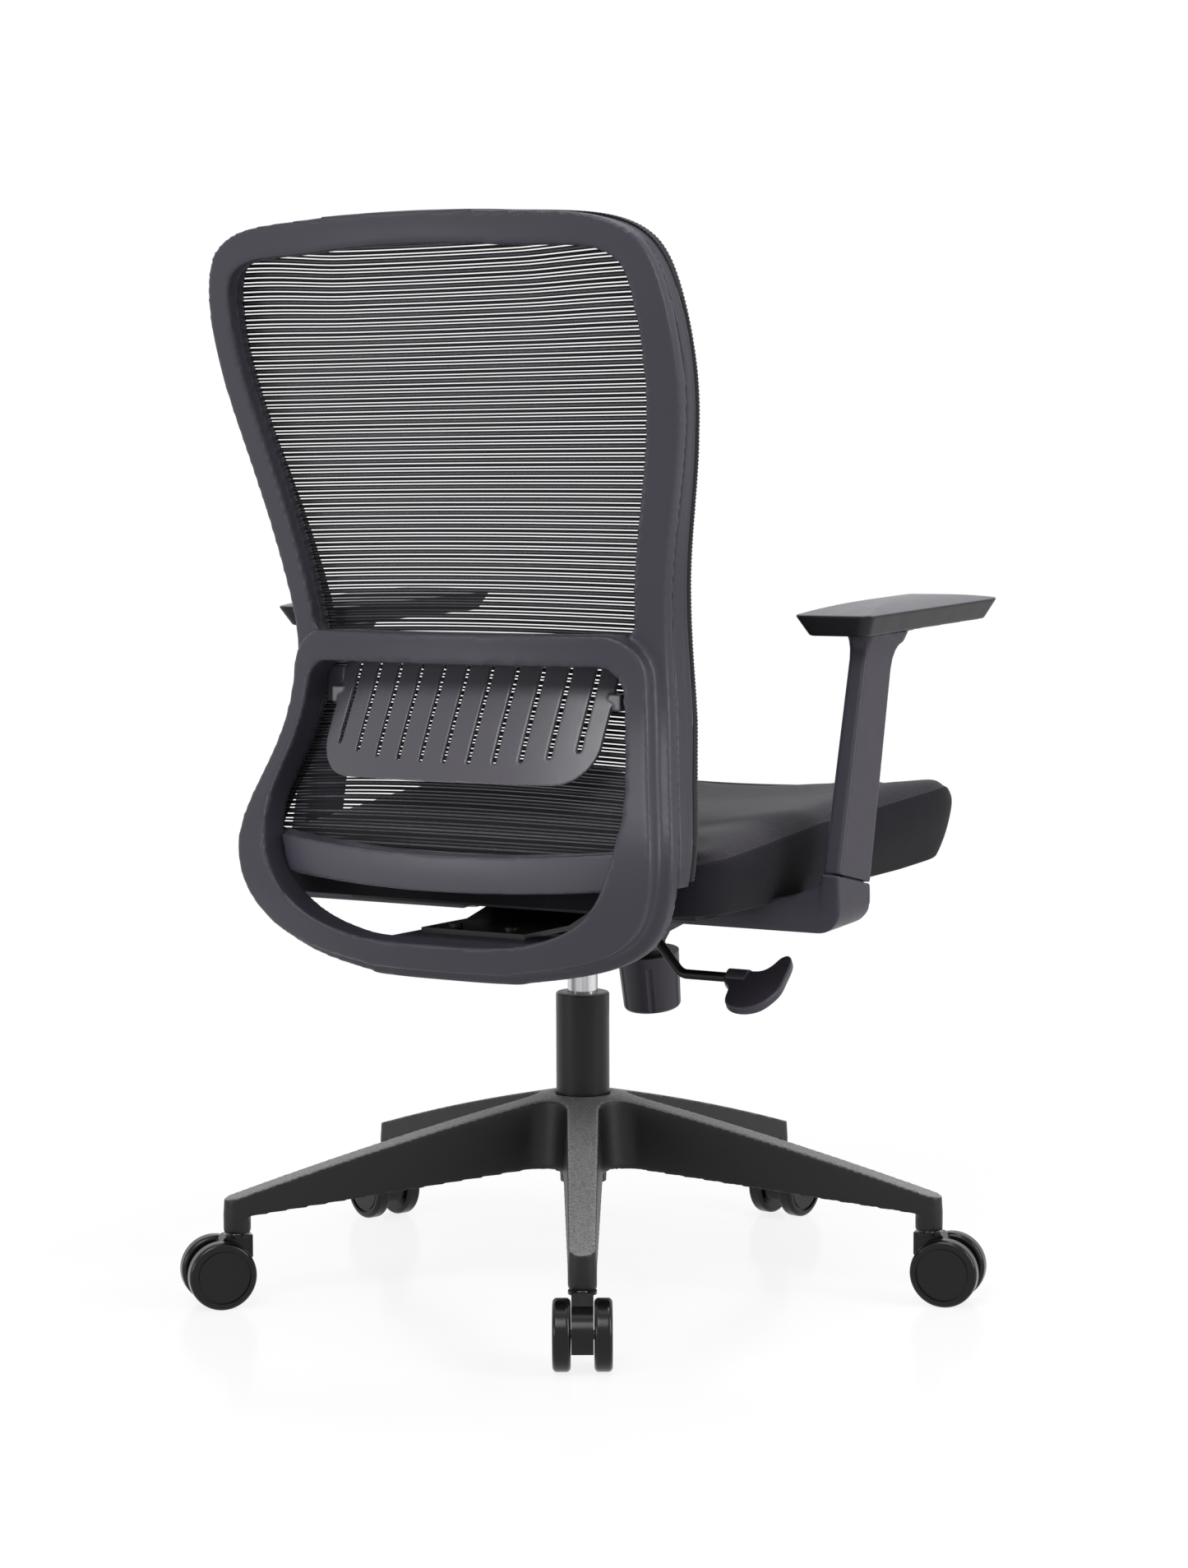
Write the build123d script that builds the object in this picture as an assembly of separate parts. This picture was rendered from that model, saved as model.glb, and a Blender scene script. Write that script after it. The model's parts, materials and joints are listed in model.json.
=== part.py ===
from build123d import *
import os
from math import atan2, cos, degrees, hypot, radians, sin, tan

# Swivel office chair with a mesh back, height adjustable arms and a five star base on twin wheel casters.
# Millimetres. The origin is on the floor under the gas lift, +Z is up and the sitter faces -Y.
# Heights from the base upwards count from a datum that the casters carry GROUND above the floor.
GROUND = 4.0

# Fits
RUN = 0.05
SEAT_GAP = 0.3

# Five star base
ARMS = 5
CASTER_CIRCLE = 332.0
BASE_TURN = 121.5
HUB_TOP = 172.5
HUB_BOTTOM = 108.0
TIP_TOP = 96.5
TIP_BOTTOM = 77.0
BOSS_BOTTOM = 62.5
BOSS_R = 12.5
TIP_OVERHANG = 14.0
ARM_CROWN = 3.0
ARM_ROOT_HALF_LOW = 23.0
ARM_ROOT_HALF_HIGH = 15.0
ARM_TIP_HALF_LOW = 13.5
ARM_TIP_HALF_HIGH = 7.0
DRAFT_LOW_Z = 60.0
DRAFT_HIGH_Z = 182.0
WEB_R = 28.0
BASE_WALL = 4.0
RIB = 3.0
RIBS_PER_ARM = 3
HUB_CORE_R = 33.0

# Twin wheel casters
WHEEL_R = 31.0
WHEEL_W = 15.6
CASTER_W = 51.0
WHEEL_EDGE = 4.0
CAP_R = 25.0
CAP_SINK = 1.0
CAP_GROOVE = 1.2
TRAIL = 18.0
FORK_SIDE_GAP = 0.5
FORK_R = 25.0
FORK_DROP = 12.0
COLLAR_R = 12.4
COLLAR_GAP = 1.6
STEM_R = 5.5
STEM_IN_BASE = 24.0
STEM_IN_FORK = 20.0
AXLE_R = 4.0

# Gas lift
TUBE_R = 25.0
TUBE_WALL = 1.8
TUBE_FOOT_R = 21.6
TUBE_BOTTOM = 89.0
TUBE_TOP = 264.0
TUBE_FLOOR = 3.0
COLLAR_TOP = 268.0
COLLAR_ROUND = 2.40
BUSH_LENGTH = 84.0
ROD_R = 4.0
PISTON_THICK = 10.0
PISTON_Z = 228.0
CYLINDER_R = 14.0
CYLINDER_WALL = 2.0
CYLINDER_BOTTOM = 130.0
CYLINDER_PLUG = 12.0
BEARING_R = 9.0
BEARING_H = 6.0
CLIP_R = 7.0
CLIP_H = 3.0
VALVE_R = 4.0
VALVE_STEM = 14.0
VALVE_TOP = 339.0
LIFT_DOWN = 22.0

# Tilt mechanism
SOCKET_BOTTOM = 296.0
SOCKET_TOP = 332.0
SOCKET_R = 20.0
TAPER_DROP = 0.7
HOUSING_HALF = 42.0
HOUSING_WALL = 3.0
HOUSING_FLOOR = 302.0
HOUSING_FRONT = -150.0
HOUSING_REAR = 58.0
HOUSING_TOP = 350.0
FLOOR_SHARE = 0.4
HOUSING_REAR_TOP = 329.0
PIVOT_Y = -30.0
PIVOT_Z = 336.0
PIVOT_R = 6.0
PIVOT_HEAD_R = 9.0
PIVOT_HEAD = 4.0
EAR_GAP = 0.8
EAR_WALL = 4.0
EAR_HALF = 17.0

# Seat plane: the seat pan's underside, raised at the front
SEAT_Z = 364.0
SEAT_PITCH = 3.55
PLATE_T = 4.0
PLATE_HALF = 86.0
PLATE_FRONT = -150.0
PLATE_REAR = 76.0

# Tension knob, leaning so that its foot points forward
TENSION_Y = -116.0
TENSION_LEAN = 9.0
BOLT_R = 5.0
BOLT_HEAD_R = 9.0
BOLT_HEAD = 6.0
SPRING_R = 15.0
SPRING_WIRE = 4.0
SPRING_LENGTH = 48.0
SLEEVE_R = 17.6
CHIN_REACH = 24.64
SLEEVE_WALL = 1.4
SLEEVE_LENGTH = 42.0
WASHER_R = 16.0
WASHER_T = 3.0
KNOB_R = 30.0
KNOB_FOOT_R = 27.5
KNOB_RIM_R = 22.0
KNOB_TOP = 30.0
KNOB_BOTTOM = 86.0
KNOB_FLUTES = 6
FLUTE_R = 5.0
FLUTE_DEPTH = 1.4

# Lever
LEVER_Z = 344.0
LEVER_R = 4.5
LEVER_TIP_X = 8.0
LEVER_KNEE_X = -62.0
LEVER_ELBOW_X = -107.0
LEVER_LOW_Z = 292.0
LEVER_END_X = -176.0
LEVER_BEND = 14.0
BUSH_R = 8.5
BUSH_PIVOT_X = -40.5
BUSH_W = 17.0
PADDLE_X = -158.0
PADDLE_T = 9.0
PADDLE_EDGE = 2.5
PADDLE_TILT = 30.0
PADDLE_PLAN = [
    (2.0, -6.5), (-16.0, -8.0), (-31.0, -10.0), (-37.5, -21.0), (-41.5, -31.0), (-46.0, -33.5),
    (-51.0, -29.5), (-55.0, -19.0), (-58.0, 0.0), (-59.5, 15.0), (-56.5, 29.0), (-50.0, 40.5),
    (-38.5, 46.5), (-25.0, 46.0), (-15.5, 40.0), (-11.0, 30.0), (-7.0, 17.0), (2.0, 7.5),
]
PADDLE_NECK_R = 8.5
PADDLE_NECK = 20.0

# Seat
SEAT_HALF = 250.0
SEAT_FRONT = -318.0
SEAT_REAR = 186.0
SEAT_TAPER = 14.0
SEAT_FRONT_R = 52.0
SEAT_REAR_R = 48.0
SEAM_H = 72.0
SEAM_INSET = 2.0
WAIST_H = 54.00
DISH = 14.0
DISH_HALF = 220.0
SEAT_DRAW_IN = 12.0
NOSE = 40.0
NOSE_LOW = 52.0
HEEL = 6.0
RISE_START = -200.0
REAR_RISE = 15.0
PAN_T = 10.0
PAN_INSET = 48.0
PAN_REAR = 110.0
SCREW_R = 3.0
SCREW_HEAD_R = 6.0
SCREW_HEAD = 3.0
SCREW_BITE = 8.0
SEAT_SCREW_X = 66.0
SEAT_SCREW_Y = (-128.0, 20.0)

# Back
BOW = 30.0
SLAB_HALF = 262.0
SHELL_T = 16.0
LOOP_PROUD = 17.0
LOOP_ROOT = 12.0
MESH_FRAME_T = 20.0
MESH_T = 1.4
RAIL_W = 27.5
CROSSBAR_TOP = 608.0
CROSSBAR_BOTTOM = 584.0
UPPER_CORNER_R = 14.0
LOWER_CORNER_R = 26.0
LOOP_INSET = 10.0
LOOP_TOP = 612.0
LOOP_CORNER_R = 40.0
MESH_FRAME_INSET = 1.0
MESH_FRAME_W = 16.0
MESH_INSET = 3.0
MESH_LOW = 398.0
# Half outline from top centre to bottom centre, as (x, z)
BACK_OUTLINE = [(0, 972), (150, 964), (219, 939), (235, 895), (215, 725), (195.5, 602),
                (211, 492), (227, 415), (212, 362), (165, 326), (85, 309), (0, 306)]
# Rear face along the side edges, as (z, y, half width there)
BACK_PROFILE = [(292, 204, 215), (360, 216, 212), (430, 222, 226), (490, 199, 212), (550, 179.5, 198),
                (607, 179, 195.5), (680, 192.5, 205), (760, 209, 220), (840, 234, 230), (912, 256, 235),
                (990, 280, 235)]
LOWER_WINDOW = [(0, 341), (100, 347), (164, 382), (185, 450), (164, CROSSBAR_BOTTOM)]
MESH_RAIL_HALF = 209.0
MESH_RAIL_END_Z = 431.0
MESH_RAIL_SAG = 12.0
MESH_RAIL_H = 33.0
MESH_RAIL_PROUD = 8.0
TONGUE_HALF = 70.0
TONGUE_FRONT = 150.0
TONGUE_REAR = 232.0
TONGUE_LOW = 328.0
TONGUE_TOP = 341.0
BRACKET_HALF = 55.0
BRACKET_T = 4.5
BRACKET_FRONT = 26.0
BRACKET_BEND_TOP = 70.0
BRACKET_BEND_LOW = 112.0
BRACKET_REAR = 186.0
BACK_SCREW_X = 29.5
BACK_SCREW_Y = 168.0

# Lumbar pad: rear face at mid width as (z, y)
LUMBAR_PROFILE = [(470, 243), (498, 231), (540, 210.5), (579, 191), (612, 180)]
LUMBAR_BOW = 20.0
LUMBAR_HALF = 145.0
LUMBAR_LOW = 482.0
LUMBAR_HIGH = 600.0
LUMBAR_CORNER_R = 36.0
LUMBAR_TOP_R = 8.0
LUMBAR_T = 4.0
SLOTS = 11
SLOT_PITCH = 25.2
SLOT_W = 4.0
SLOT_LOW = 498.0
SLOT_HIGH = 582.0
SLOT_SHORTEN = 12.0
WING_REACH = 170.0
WING_LOW = 545.0
WING_HIGH = 578.0
WING_T = 3.0
WING_START = 149.0
WING_REAR_Y = 168.2
WING_WEB = 12.0
WING_WEB_FRONT = 167.2
WING_WEB_REAR = 184.0
WING_WEB_H = 15.0

# Arms
ARM_X = 290.5
ARM_Y = 25.0
ARM_WIDE = 62.0
ARM_THICK = 17.0
ARM_LEAN = 12.0
ARM_CORNER_R = 2.5
CORE_CORNER_R = 2.0
ARM_NARROWING = 13.0
PARTING_Z = 392.0
PARTING_GAP = 1.2
PAD_UNDER_Z = 607.0
ELBOW_R = 23.0
BRACKET_ROOT_X = 96.0
BRACKET_PLATE = 15.0
POST_GAP = 0.3
SLEEVE_SKIN = 4.0
POST_LENGTH = 120.0
SLEEVE_DEPTH = 194.0
FLARE_H = 26.0
FLARE_OUT = 9.0
FLARE_STEPS = [(0.0, 0.0), (0.35, 0.08), (0.65, 0.28), (0.85, 0.55), (1.0, 1.0), (1.6, 1.6)]
PAD_X = 283.0
PAD_HALF = 38.5
PAD_FRONT = -226.0
PAD_REAR = 42.0
PAD_SIDE = 18.0
PAD_UNDERCUT = 9.0
PAD_CORNER_R = 10.0
PAD_CROWN = 10.0
PAD_ARCH = 9.0
PAD_PITCH = 2.0
TRIGGER_W = 24.0
TRIGGER_LENGTH = 20.0
TRIGGER_T = 5.0
TRIGGER_Y = -112.0
TRIGGER_TRAVEL = 3.0
ARM_SCREW_X = (106.0, 143.0, 180.0)

SIDES = {"left": 1.0, "right": -1.0}
SEAT_PLANE = Location((0, 0, SEAT_Z), (-SEAT_PITCH, 0, 0))


def rod(radius, low, high):
    """Upright cylinder on the Z axis between two heights."""
    return Pos(0, 0, low) * Cylinder(radius, high - low, align=(Align.CENTER, Align.CENTER, Align.MIN))


def tube(outer, inner, low, high):
    """Upright tube on the Z axis between two heights."""
    return rod(outer, low, high) - rod(inner, low, high)


def cone(low_r, high_r, low, high):
    """Upright cone on the Z axis between two heights."""
    return revolve(Plane.XZ * Polygon((0, low), (low_r, low), (high_r, high), (0, high), align=None), Axis.Z)


def block(x, y, z):
    """Box between pairs of limits."""
    size = Box(x[1] - x[0], y[1] - y[0], z[1] - z[0])
    return Pos((x[0] + x[1]) / 2, (y[0] + y[1]) / 2, (z[0] + z[1]) / 2) * size


def across(profile, half):
    """Extrude a side profile in (y, z) to both sides of the middle plane."""
    return extrude(Plane.YZ * profile, half, both=True)


def between(table, at):
    """Straight interpolation in a table of (key, value) pairs sorted by key."""
    for (low, low_value), (high, high_value) in zip(table, table[1:]):
        if at <= high:
            break
    return low_value + (high_value - low_value) * (at - low) / (high - low)


# Five star base

def star(root_half, tip_half, height):
    """Plan of the base at one height: five tapered arms with rounded webs between them."""
    plan = Sketch()
    for k in range(ARMS):
        arm = Polygon((0, -root_half), (CASTER_CIRCLE, -tip_half), (CASTER_CIRCLE, tip_half), (0, root_half),
                      align=None)
        arm += Pos(CASTER_CIRCLE, 0) * Circle(tip_half)
        plan += Rot(0, 0, k * 360 / ARMS) * arm
    webs = plan.vertices().sort_by(lambda v: hypot(v.X, v.Y))[:ARMS]
    return Pos(0, 0, height) * fillet(webs, WEB_R)


def base_envelope(lower):
    """Turned body that limits the arms' tops and undersides, with the top lowered by a wall."""
    reach = CASTER_CIRCLE + TIP_OVERHANG
    root = HUB_CORE_R + RUN
    top = [(root, HUB_TOP - lower), (CASTER_CIRCLE, TIP_TOP - lower)]
    middle = ((top[0][0] + top[1][0]) / 2, (top[0][1] + top[1][1]) / 2 + ARM_CROWN)
    drop = (HUB_TOP - TIP_TOP) * TIP_OVERHANG / (CASTER_CIRCLE - root)
    low = 0 if lower == 0 else HUB_BOTTOM
    edges = [
        Line((0, HUB_TOP - lower), top[0]),
        ThreePointArc(top[0], middle, top[1]),
        Line(top[1], (reach, top[1][1] - drop)),
        Line((reach, top[1][1] - drop), (reach, TIP_BOTTOM - low)),
        Line((reach, TIP_BOTTOM - low), (CASTER_CIRCLE, TIP_BOTTOM - low)),
        Line((CASTER_CIRCLE, TIP_BOTTOM - low), (root, HUB_BOTTOM - low)),
        Line((root, HUB_BOTTOM - low), (0, HUB_BOTTOM - low)),
        Line((0, HUB_BOTTOM - low), (0, HUB_TOP - lower)),
    ]
    return revolve(Plane.XZ * make_face(edges), Axis.Z)


def five_star_base():
    low, high = DRAFT_LOW_Z, DRAFT_HIGH_Z
    skin = loft([star(ARM_ROOT_HALF_LOW, ARM_TIP_HALF_LOW, low),
                 star(ARM_ROOT_HALF_HIGH, ARM_TIP_HALF_HIGH, high)], ruled=True)
    inner = loft([star(ARM_ROOT_HALF_LOW - BASE_WALL, ARM_TIP_HALF_LOW - BASE_WALL, low),
                  star(ARM_ROOT_HALF_HIGH - BASE_WALL, ARM_TIP_HALF_HIGH - BASE_WALL, high)], ruled=True)
    cavity = inner & base_envelope(BASE_WALL)
    cavity -= rod(HUB_CORE_R, 0, HUB_TOP)
    arm_spots = [Rot(0, 0, k * 360 / ARMS) for k in range(ARMS)]
    pitch = (CASTER_CIRCLE - HUB_CORE_R) / (RIBS_PER_ARM + 1)
    for spot in arm_spots:
        cavity -= spot * Pos(CASTER_CIRCLE, 0, 0) * rod(BOSS_R, 0, HUB_TOP)
        for n in range(RIBS_PER_ARM):
            at = HUB_CORE_R + pitch * (n + 1)
            cavity -= spot * block((at - RIB / 2, at + RIB / 2), (-WEB_R, WEB_R), (0, HUB_TOP))
    body = (skin & base_envelope(0)) - cavity
    body += rod(HUB_CORE_R, HUB_BOTTOM, HUB_TOP)
    body -= cone(TUBE_FOOT_R + RUN, TUBE_R + RUN, TUBE_BOTTOM, HUB_TOP)
    for spot in arm_spots:
        boss = rod(BOSS_R, BOSS_BOTTOM, TIP_BOTTOM + BASE_WALL) - rod(STEM_R + RUN, BOSS_BOTTOM, TIP_TOP)
        body += spot * Pos(CASTER_CIRCLE, 0, 0) * boss
        stem_top = BOSS_BOTTOM + STEM_IN_BASE + RUN
        body -= spot * Pos(CASTER_CIRCLE, 0, 0) * rod(STEM_R + RUN, BOSS_BOTTOM, stem_top)
    return Rot(0, 0, BASE_TURN) * body


# Casters, built with the stem on the Z axis and the axle along Y behind it

def caster_spot(k):
    return Rot(0, 0, BASE_TURN + k * 360 / ARMS) * Pos(CASTER_CIRCLE, 0, 0)


def caster_pieces():
    fork_half = CASTER_W / 2 - WHEEL_W - FORK_SIDE_GAP
    socket_low = BOSS_BOTTOM + GROUND
    collar_top = socket_low - COLLAR_GAP
    cheek = Pos(TRAIL, WHEEL_R) * Circle(FORK_R)
    cheek += Polygon((-COLLAR_R, collar_top - STEM_IN_FORK), (-COLLAR_R, collar_top), (COLLAR_R, collar_top),
                     (TRAIL + FORK_R, WHEEL_R), (TRAIL, WHEEL_R), (0, WHEEL_R), align=None)
    cheek -= Pos(TRAIL, WHEEL_R - FORK_DROP - FORK_R) * Rectangle(4 * FORK_R, 2 * FORK_R)
    fork = extrude(Plane.XZ * cheek, fork_half, both=True)
    fork += rod(COLLAR_R, 2 * WHEEL_R + SEAT_GAP, collar_top)
    fork += rod(fork_half, collar_top - STEM_IN_FORK - COLLAR_GAP, collar_top)
    fork -= rod(STEM_R + RUN, collar_top - STEM_IN_FORK, collar_top)
    axle_spot = Pos(TRAIL, 0, WHEEL_R) * Rot(90, 0, 0)
    fork -= axle_spot * Cylinder(AXLE_R + RUN, CASTER_W)
    axle_half = CASTER_W / 2 - CAP_SINK - 2 * CAP_GROOVE
    pins = [rod(STEM_R, collar_top - STEM_IN_FORK, socket_low + STEM_IN_BASE),
            axle_spot * Cylinder(AXLE_R, 2 * axle_half)]
    wheel = rod(WHEEL_R, CASTER_W / 2 - WHEEL_W, CASTER_W / 2)
    wheel = fillet(wheel.edges().filter_by(GeomType.CIRCLE), WHEEL_EDGE)
    wheel -= rod(CAP_R, CASTER_W / 2 - CAP_SINK, CASTER_W / 2)
    wheel -= tube(CAP_R, CAP_R - 2 * CAP_GROOVE, CASTER_W / 2 - CAP_SINK - CAP_GROOVE, CASTER_W / 2)
    wheel -= rod(AXLE_R + RUN, 0, axle_half + RUN)
    place = Pos(TRAIL, 0, WHEEL_R)
    return {"fork": [fork], "pins": pins,
            "wheel_a": [place * Rot(90, 0, 0) * wheel], "wheel_b": [place * Rot(-90, 0, 0) * wheel]}


# Gas lift

def gas_lift():
    inner = TUBE_R - TUBE_WALL
    tube_body = cone(TUBE_FOOT_R, TUBE_R, TUBE_BOTTOM, HUB_TOP) + rod(TUBE_R, HUB_TOP, TUBE_TOP)
    bore = cone(TUBE_FOOT_R - TUBE_WALL, inner, TUBE_BOTTOM + TUBE_FLOOR, HUB_TOP)
    bore += rod(inner, HUB_TOP, TUBE_TOP)
    tube_body -= bore
    tube_body -= rod(ROD_R + RUN, TUBE_BOTTOM, HUB_TOP)
    bush = rod(inner - RUN, TUBE_TOP - BUSH_LENGTH, TUBE_TOP) + rod(TUBE_R, TUBE_TOP, COLLAR_TOP)
    bush = fillet(bush.edges().group_by(Axis.Z)[-1], COLLAR_ROUND)
    bush -= rod(CYLINDER_R + RUN, 0, COLLAR_TOP)
    floor = TUBE_BOTTOM + TUBE_FLOOR
    hardware = [tube(BEARING_R, ROD_R + RUN, floor, floor + BEARING_H),
                tube(CLIP_R, ROD_R + RUN, TUBE_BOTTOM - CLIP_H, TUBE_BOTTOM)]
    bore_r = CYLINDER_R - CYLINDER_WALL
    piston = rod(ROD_R, TUBE_BOTTOM - CLIP_H, PISTON_Z) + rod(bore_r - RUN, PISTON_Z, PISTON_Z + PISTON_THICK)
    piston += rod(BEARING_R, floor + BEARING_H, floor + BEARING_H + CLIP_H)
    cylinder_top = SOCKET_TOP + CLIP_H - 1
    cylinder = rod(CYLINDER_R, CYLINDER_BOTTOM, SOCKET_BOTTOM)
    cylinder += cone(CYLINDER_R, CYLINDER_R - TAPER_DROP, SOCKET_BOTTOM, cylinder_top)
    cylinder -= rod(bore_r, CYLINDER_BOTTOM + CYLINDER_PLUG, SOCKET_BOTTOM + CYLINDER_PLUG)
    cylinder -= rod(ROD_R + RUN, CYLINDER_BOTTOM, CYLINDER_BOTTOM + CYLINDER_PLUG)
    cylinder -= rod(VALVE_R + RUN, SOCKET_BOTTOM + CYLINDER_PLUG, cylinder_top)
    valve = rod(VALVE_R, VALVE_TOP - VALVE_STEM, VALVE_TOP)
    return {"column_tube": [tube_body], "column_bush": [bush], "column_hardware": hardware,
            "piston_rod": [piston], "gas_cylinder": [cylinder], "valve_button": [valve]}


# Tilt mechanism

def lean(piece):
    """Put a piece built on the Z axis on the leaning tension axis, with its zero at the housing floor."""
    return Location((0, TENSION_Y, tension_floor()), (-TENSION_LEAN, 0, 0)) * piece


def tension_floor():
    """Height of the housing's sloped floor where the tension bolt comes through."""
    return HOUSING_FLOOR + FLOOR_SHARE * (HOUSING_TOP - HOUSING_FLOOR)


def housing_profile(wall):
    """Side profile of the housing, drawn in by a wall, with the inner one open at the top."""
    slope = tan(radians(TENSION_LEAN))
    nose = tension_floor() + wall / cos(radians(TENSION_LEAN))
    front = HOUSING_FRONT + wall
    rear = HOUSING_REAR - wall
    sole = HOUSING_FLOOR + wall
    chin = TENSION_Y + CHIN_REACH
    points = [(front, nose + slope * (TENSION_Y - front)), (chin, nose - slope * (chin - TENSION_Y)),
              (chin + SLEEVE_R, sole), (rear - SLEEVE_R, sole), (rear, sole + SLEEVE_R / 3)]
    lid = SEAT_Z + SEAT_HALF if wall else HOUSING_TOP
    rear_lid = lid if wall else HOUSING_REAR_TOP
    points += [(rear, rear_lid)]
    if not wall:
        points += [(PIVOT_Y - EAR_HALF, HOUSING_TOP)]
    points += [(front, lid)]
    return Polygon(*points, align=None)


def mechanism():
    housing = across(housing_profile(0), HOUSING_HALF)
    housing -= across(housing_profile(HOUSING_WALL), HOUSING_HALF - HOUSING_WALL)
    housing -= rod(SOCKET_R + RUN, 0, SOCKET_TOP)
    pivot = Pos(0, PIVOT_Y, PIVOT_Z) * Rot(0, 90, 0)
    housing -= pivot * Cylinder(PIVOT_R + RUN, 4 * HOUSING_HALF)
    housing -= lean(rod(BOLT_R + RUN, -BOLT_HEAD, BOLT_HEAD))
    window = LEVER_R + BUSH_R
    housing -= block((-HOUSING_HALF - 1, -HOUSING_HALF + 2 * HOUSING_WALL),
                     (-BUSH_R - SEAT_GAP, BUSH_R + SEAT_GAP), (LEVER_Z - BUSH_R - SEAT_GAP, LEVER_Z + window))
    socket = rod(SOCKET_R, SOCKET_BOTTOM, SOCKET_TOP)
    socket -= cone(CYLINDER_R + RUN, CYLINDER_R - TAPER_DROP + RUN, SOCKET_BOTTOM, SOCKET_TOP)
    ear_out = HOUSING_HALF + EAR_GAP + EAR_WALL
    axle = pivot * Cylinder(PIVOT_R, 2 * (ear_out + SEAT_GAP))
    for end in (1, -1):
        axle += Pos(end * (ear_out + SEAT_GAP + PIVOT_HEAD / 2), PIVOT_Y, PIVOT_Z) * Rot(0, 90, 0) * Cylinder(
            PIVOT_HEAD_R, PIVOT_HEAD)
    return {"mechanism_housing": [housing], "taper_socket": [socket], "tilt_axle": [axle]}


def tension_set():
    head = extrude(RegularPolygon(BOLT_HEAD_R, 6), BOLT_HEAD)
    bolt = rod(BOLT_R, -KNOB_BOTTOM + 2, 0) + rod(BOLT_R, 0, HOUSING_WALL + BOLT_HEAD)
    bolt += Pos(0, 0, HOUSING_WALL) * head
    spring = tube(SPRING_R, SPRING_R - SPRING_WIRE, -SPRING_LENGTH, 0)
    sleeve = tube(SLEEVE_R, SLEEVE_R - SLEEVE_WALL, -SLEEVE_LENGTH, 0)
    washer = tube(WASHER_R, BOLT_R + RUN, -SPRING_LENGTH - WASHER_T, -SPRING_LENGTH)
    floor = -SPRING_LENGTH - WASHER_T
    knob = cone(KNOB_FOOT_R, KNOB_R, -KNOB_BOTTOM, -KNOB_TOP)
    knob = fillet(knob.edges().group_by(Axis.Z)[0], FLUTE_R)
    knob -= rod(KNOB_RIM_R, floor, 0)
    knob -= rod(BOLT_R + RUN, -KNOB_BOTTOM, 0)
    flare = degrees(atan2(KNOB_R - KNOB_FOOT_R, KNOB_BOTTOM - KNOB_TOP))
    for k in range(KNOB_FLUTES):
        groove = Pos(KNOB_FOOT_R + FLUTE_R - FLUTE_DEPTH, 0, -KNOB_BOTTOM) * Rot(0, flare, 0) * rod(
            FLUTE_R, -FLUTE_R, KNOB_BOTTOM - KNOB_TOP - 2 * FLUTE_R)
        knob -= Rot(0, 0, k * 360 / KNOB_FLUTES) * groove
    return {"tension_bolt": [lean(bolt)], "tension_spring": [lean(spring)], "spring_sleeve": [lean(sleeve)],
            "spring_washer": [lean(washer)], "tension_knob": [lean(knob)]}


def lever():
    path = FilletPolyline((LEVER_TIP_X, 0, LEVER_Z), (LEVER_KNEE_X, 0, LEVER_Z),
                          (LEVER_ELBOW_X, 0, LEVER_LOW_Z), (LEVER_END_X, 0, LEVER_LOW_Z), radius=LEVER_BEND)
    bar = sweep(Plane(origin=path @ 0, z_dir=path % 0) * Circle(LEVER_R), path=path)
    bush = Pos(BUSH_PIVOT_X, 0, LEVER_Z) * Rot(90, 0, 0) * Cylinder(BUSH_R, BUSH_W)
    bush -= Pos(BUSH_PIVOT_X, 0, LEVER_Z) * Rot(0, 90, 0) * Cylinder(LEVER_R + RUN, 3 * BUSH_R)
    blade = extrude(make_face(Spline(*PADDLE_PLAN, periodic=True)), PADDLE_T / 2, both=True)
    blade = fillet(blade.edges().filter_by(lambda e: abs(e.center().Z) > PADDLE_T / 4), PADDLE_EDGE)
    paddle = Pos(PADDLE_X, 0, LEVER_LOW_Z) * Rot(-PADDLE_TILT, 0, 0) * blade
    grip = Pos(PADDLE_X, 0, LEVER_LOW_Z) * Rot(0, 90, 0)
    paddle += grip * Pos(0, 0, -PADDLE_NECK / 2) * Cylinder(PADDLE_NECK_R, PADDLE_NECK)
    mouth = PADDLE_X + PADDLE_NECK
    run = mouth - LEVER_END_X + RUN
    bore = Pos(mouth - run / 2, 0, LEVER_LOW_Z) * Rot(0, 90, 0) * Cylinder(LEVER_R + RUN, run)
    paddle -= bore
    return {"lever_bush": [bush], "lever_rod": [bar], "lever_paddle": [paddle]}


# Seat, built on the seat plane with its zero at the pan's underside

def seat_outline(inset, height):
    """Rounded plan of the seat, a little narrower at the rear, drawn in by an inset."""
    half = SEAT_HALF - inset
    rear_half = half - SEAT_TAPER
    front, rear = SEAT_FRONT + inset, SEAT_REAR - inset
    corners = [(-half, front), (half, front), (rear_half, rear), (-rear_half, rear)]
    plan = make_face(Polyline(*corners, close=True))
    corners = plan.vertices().sort_by(Axis.Y)
    plan = fillet(corners[:2], SEAT_FRONT_R)
    plan = fillet(plan.vertices().sort_by(Axis.Y).filter_by(lambda v: v.Y > rear - 1), SEAT_REAR_R)
    return Pos(0, 0, height) * plan


def screw(head_low):
    """Screw standing up from its head, whose seat is one head height above head_low."""
    return rod(SCREW_HEAD_R, head_low, head_low + SCREW_HEAD)


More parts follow.
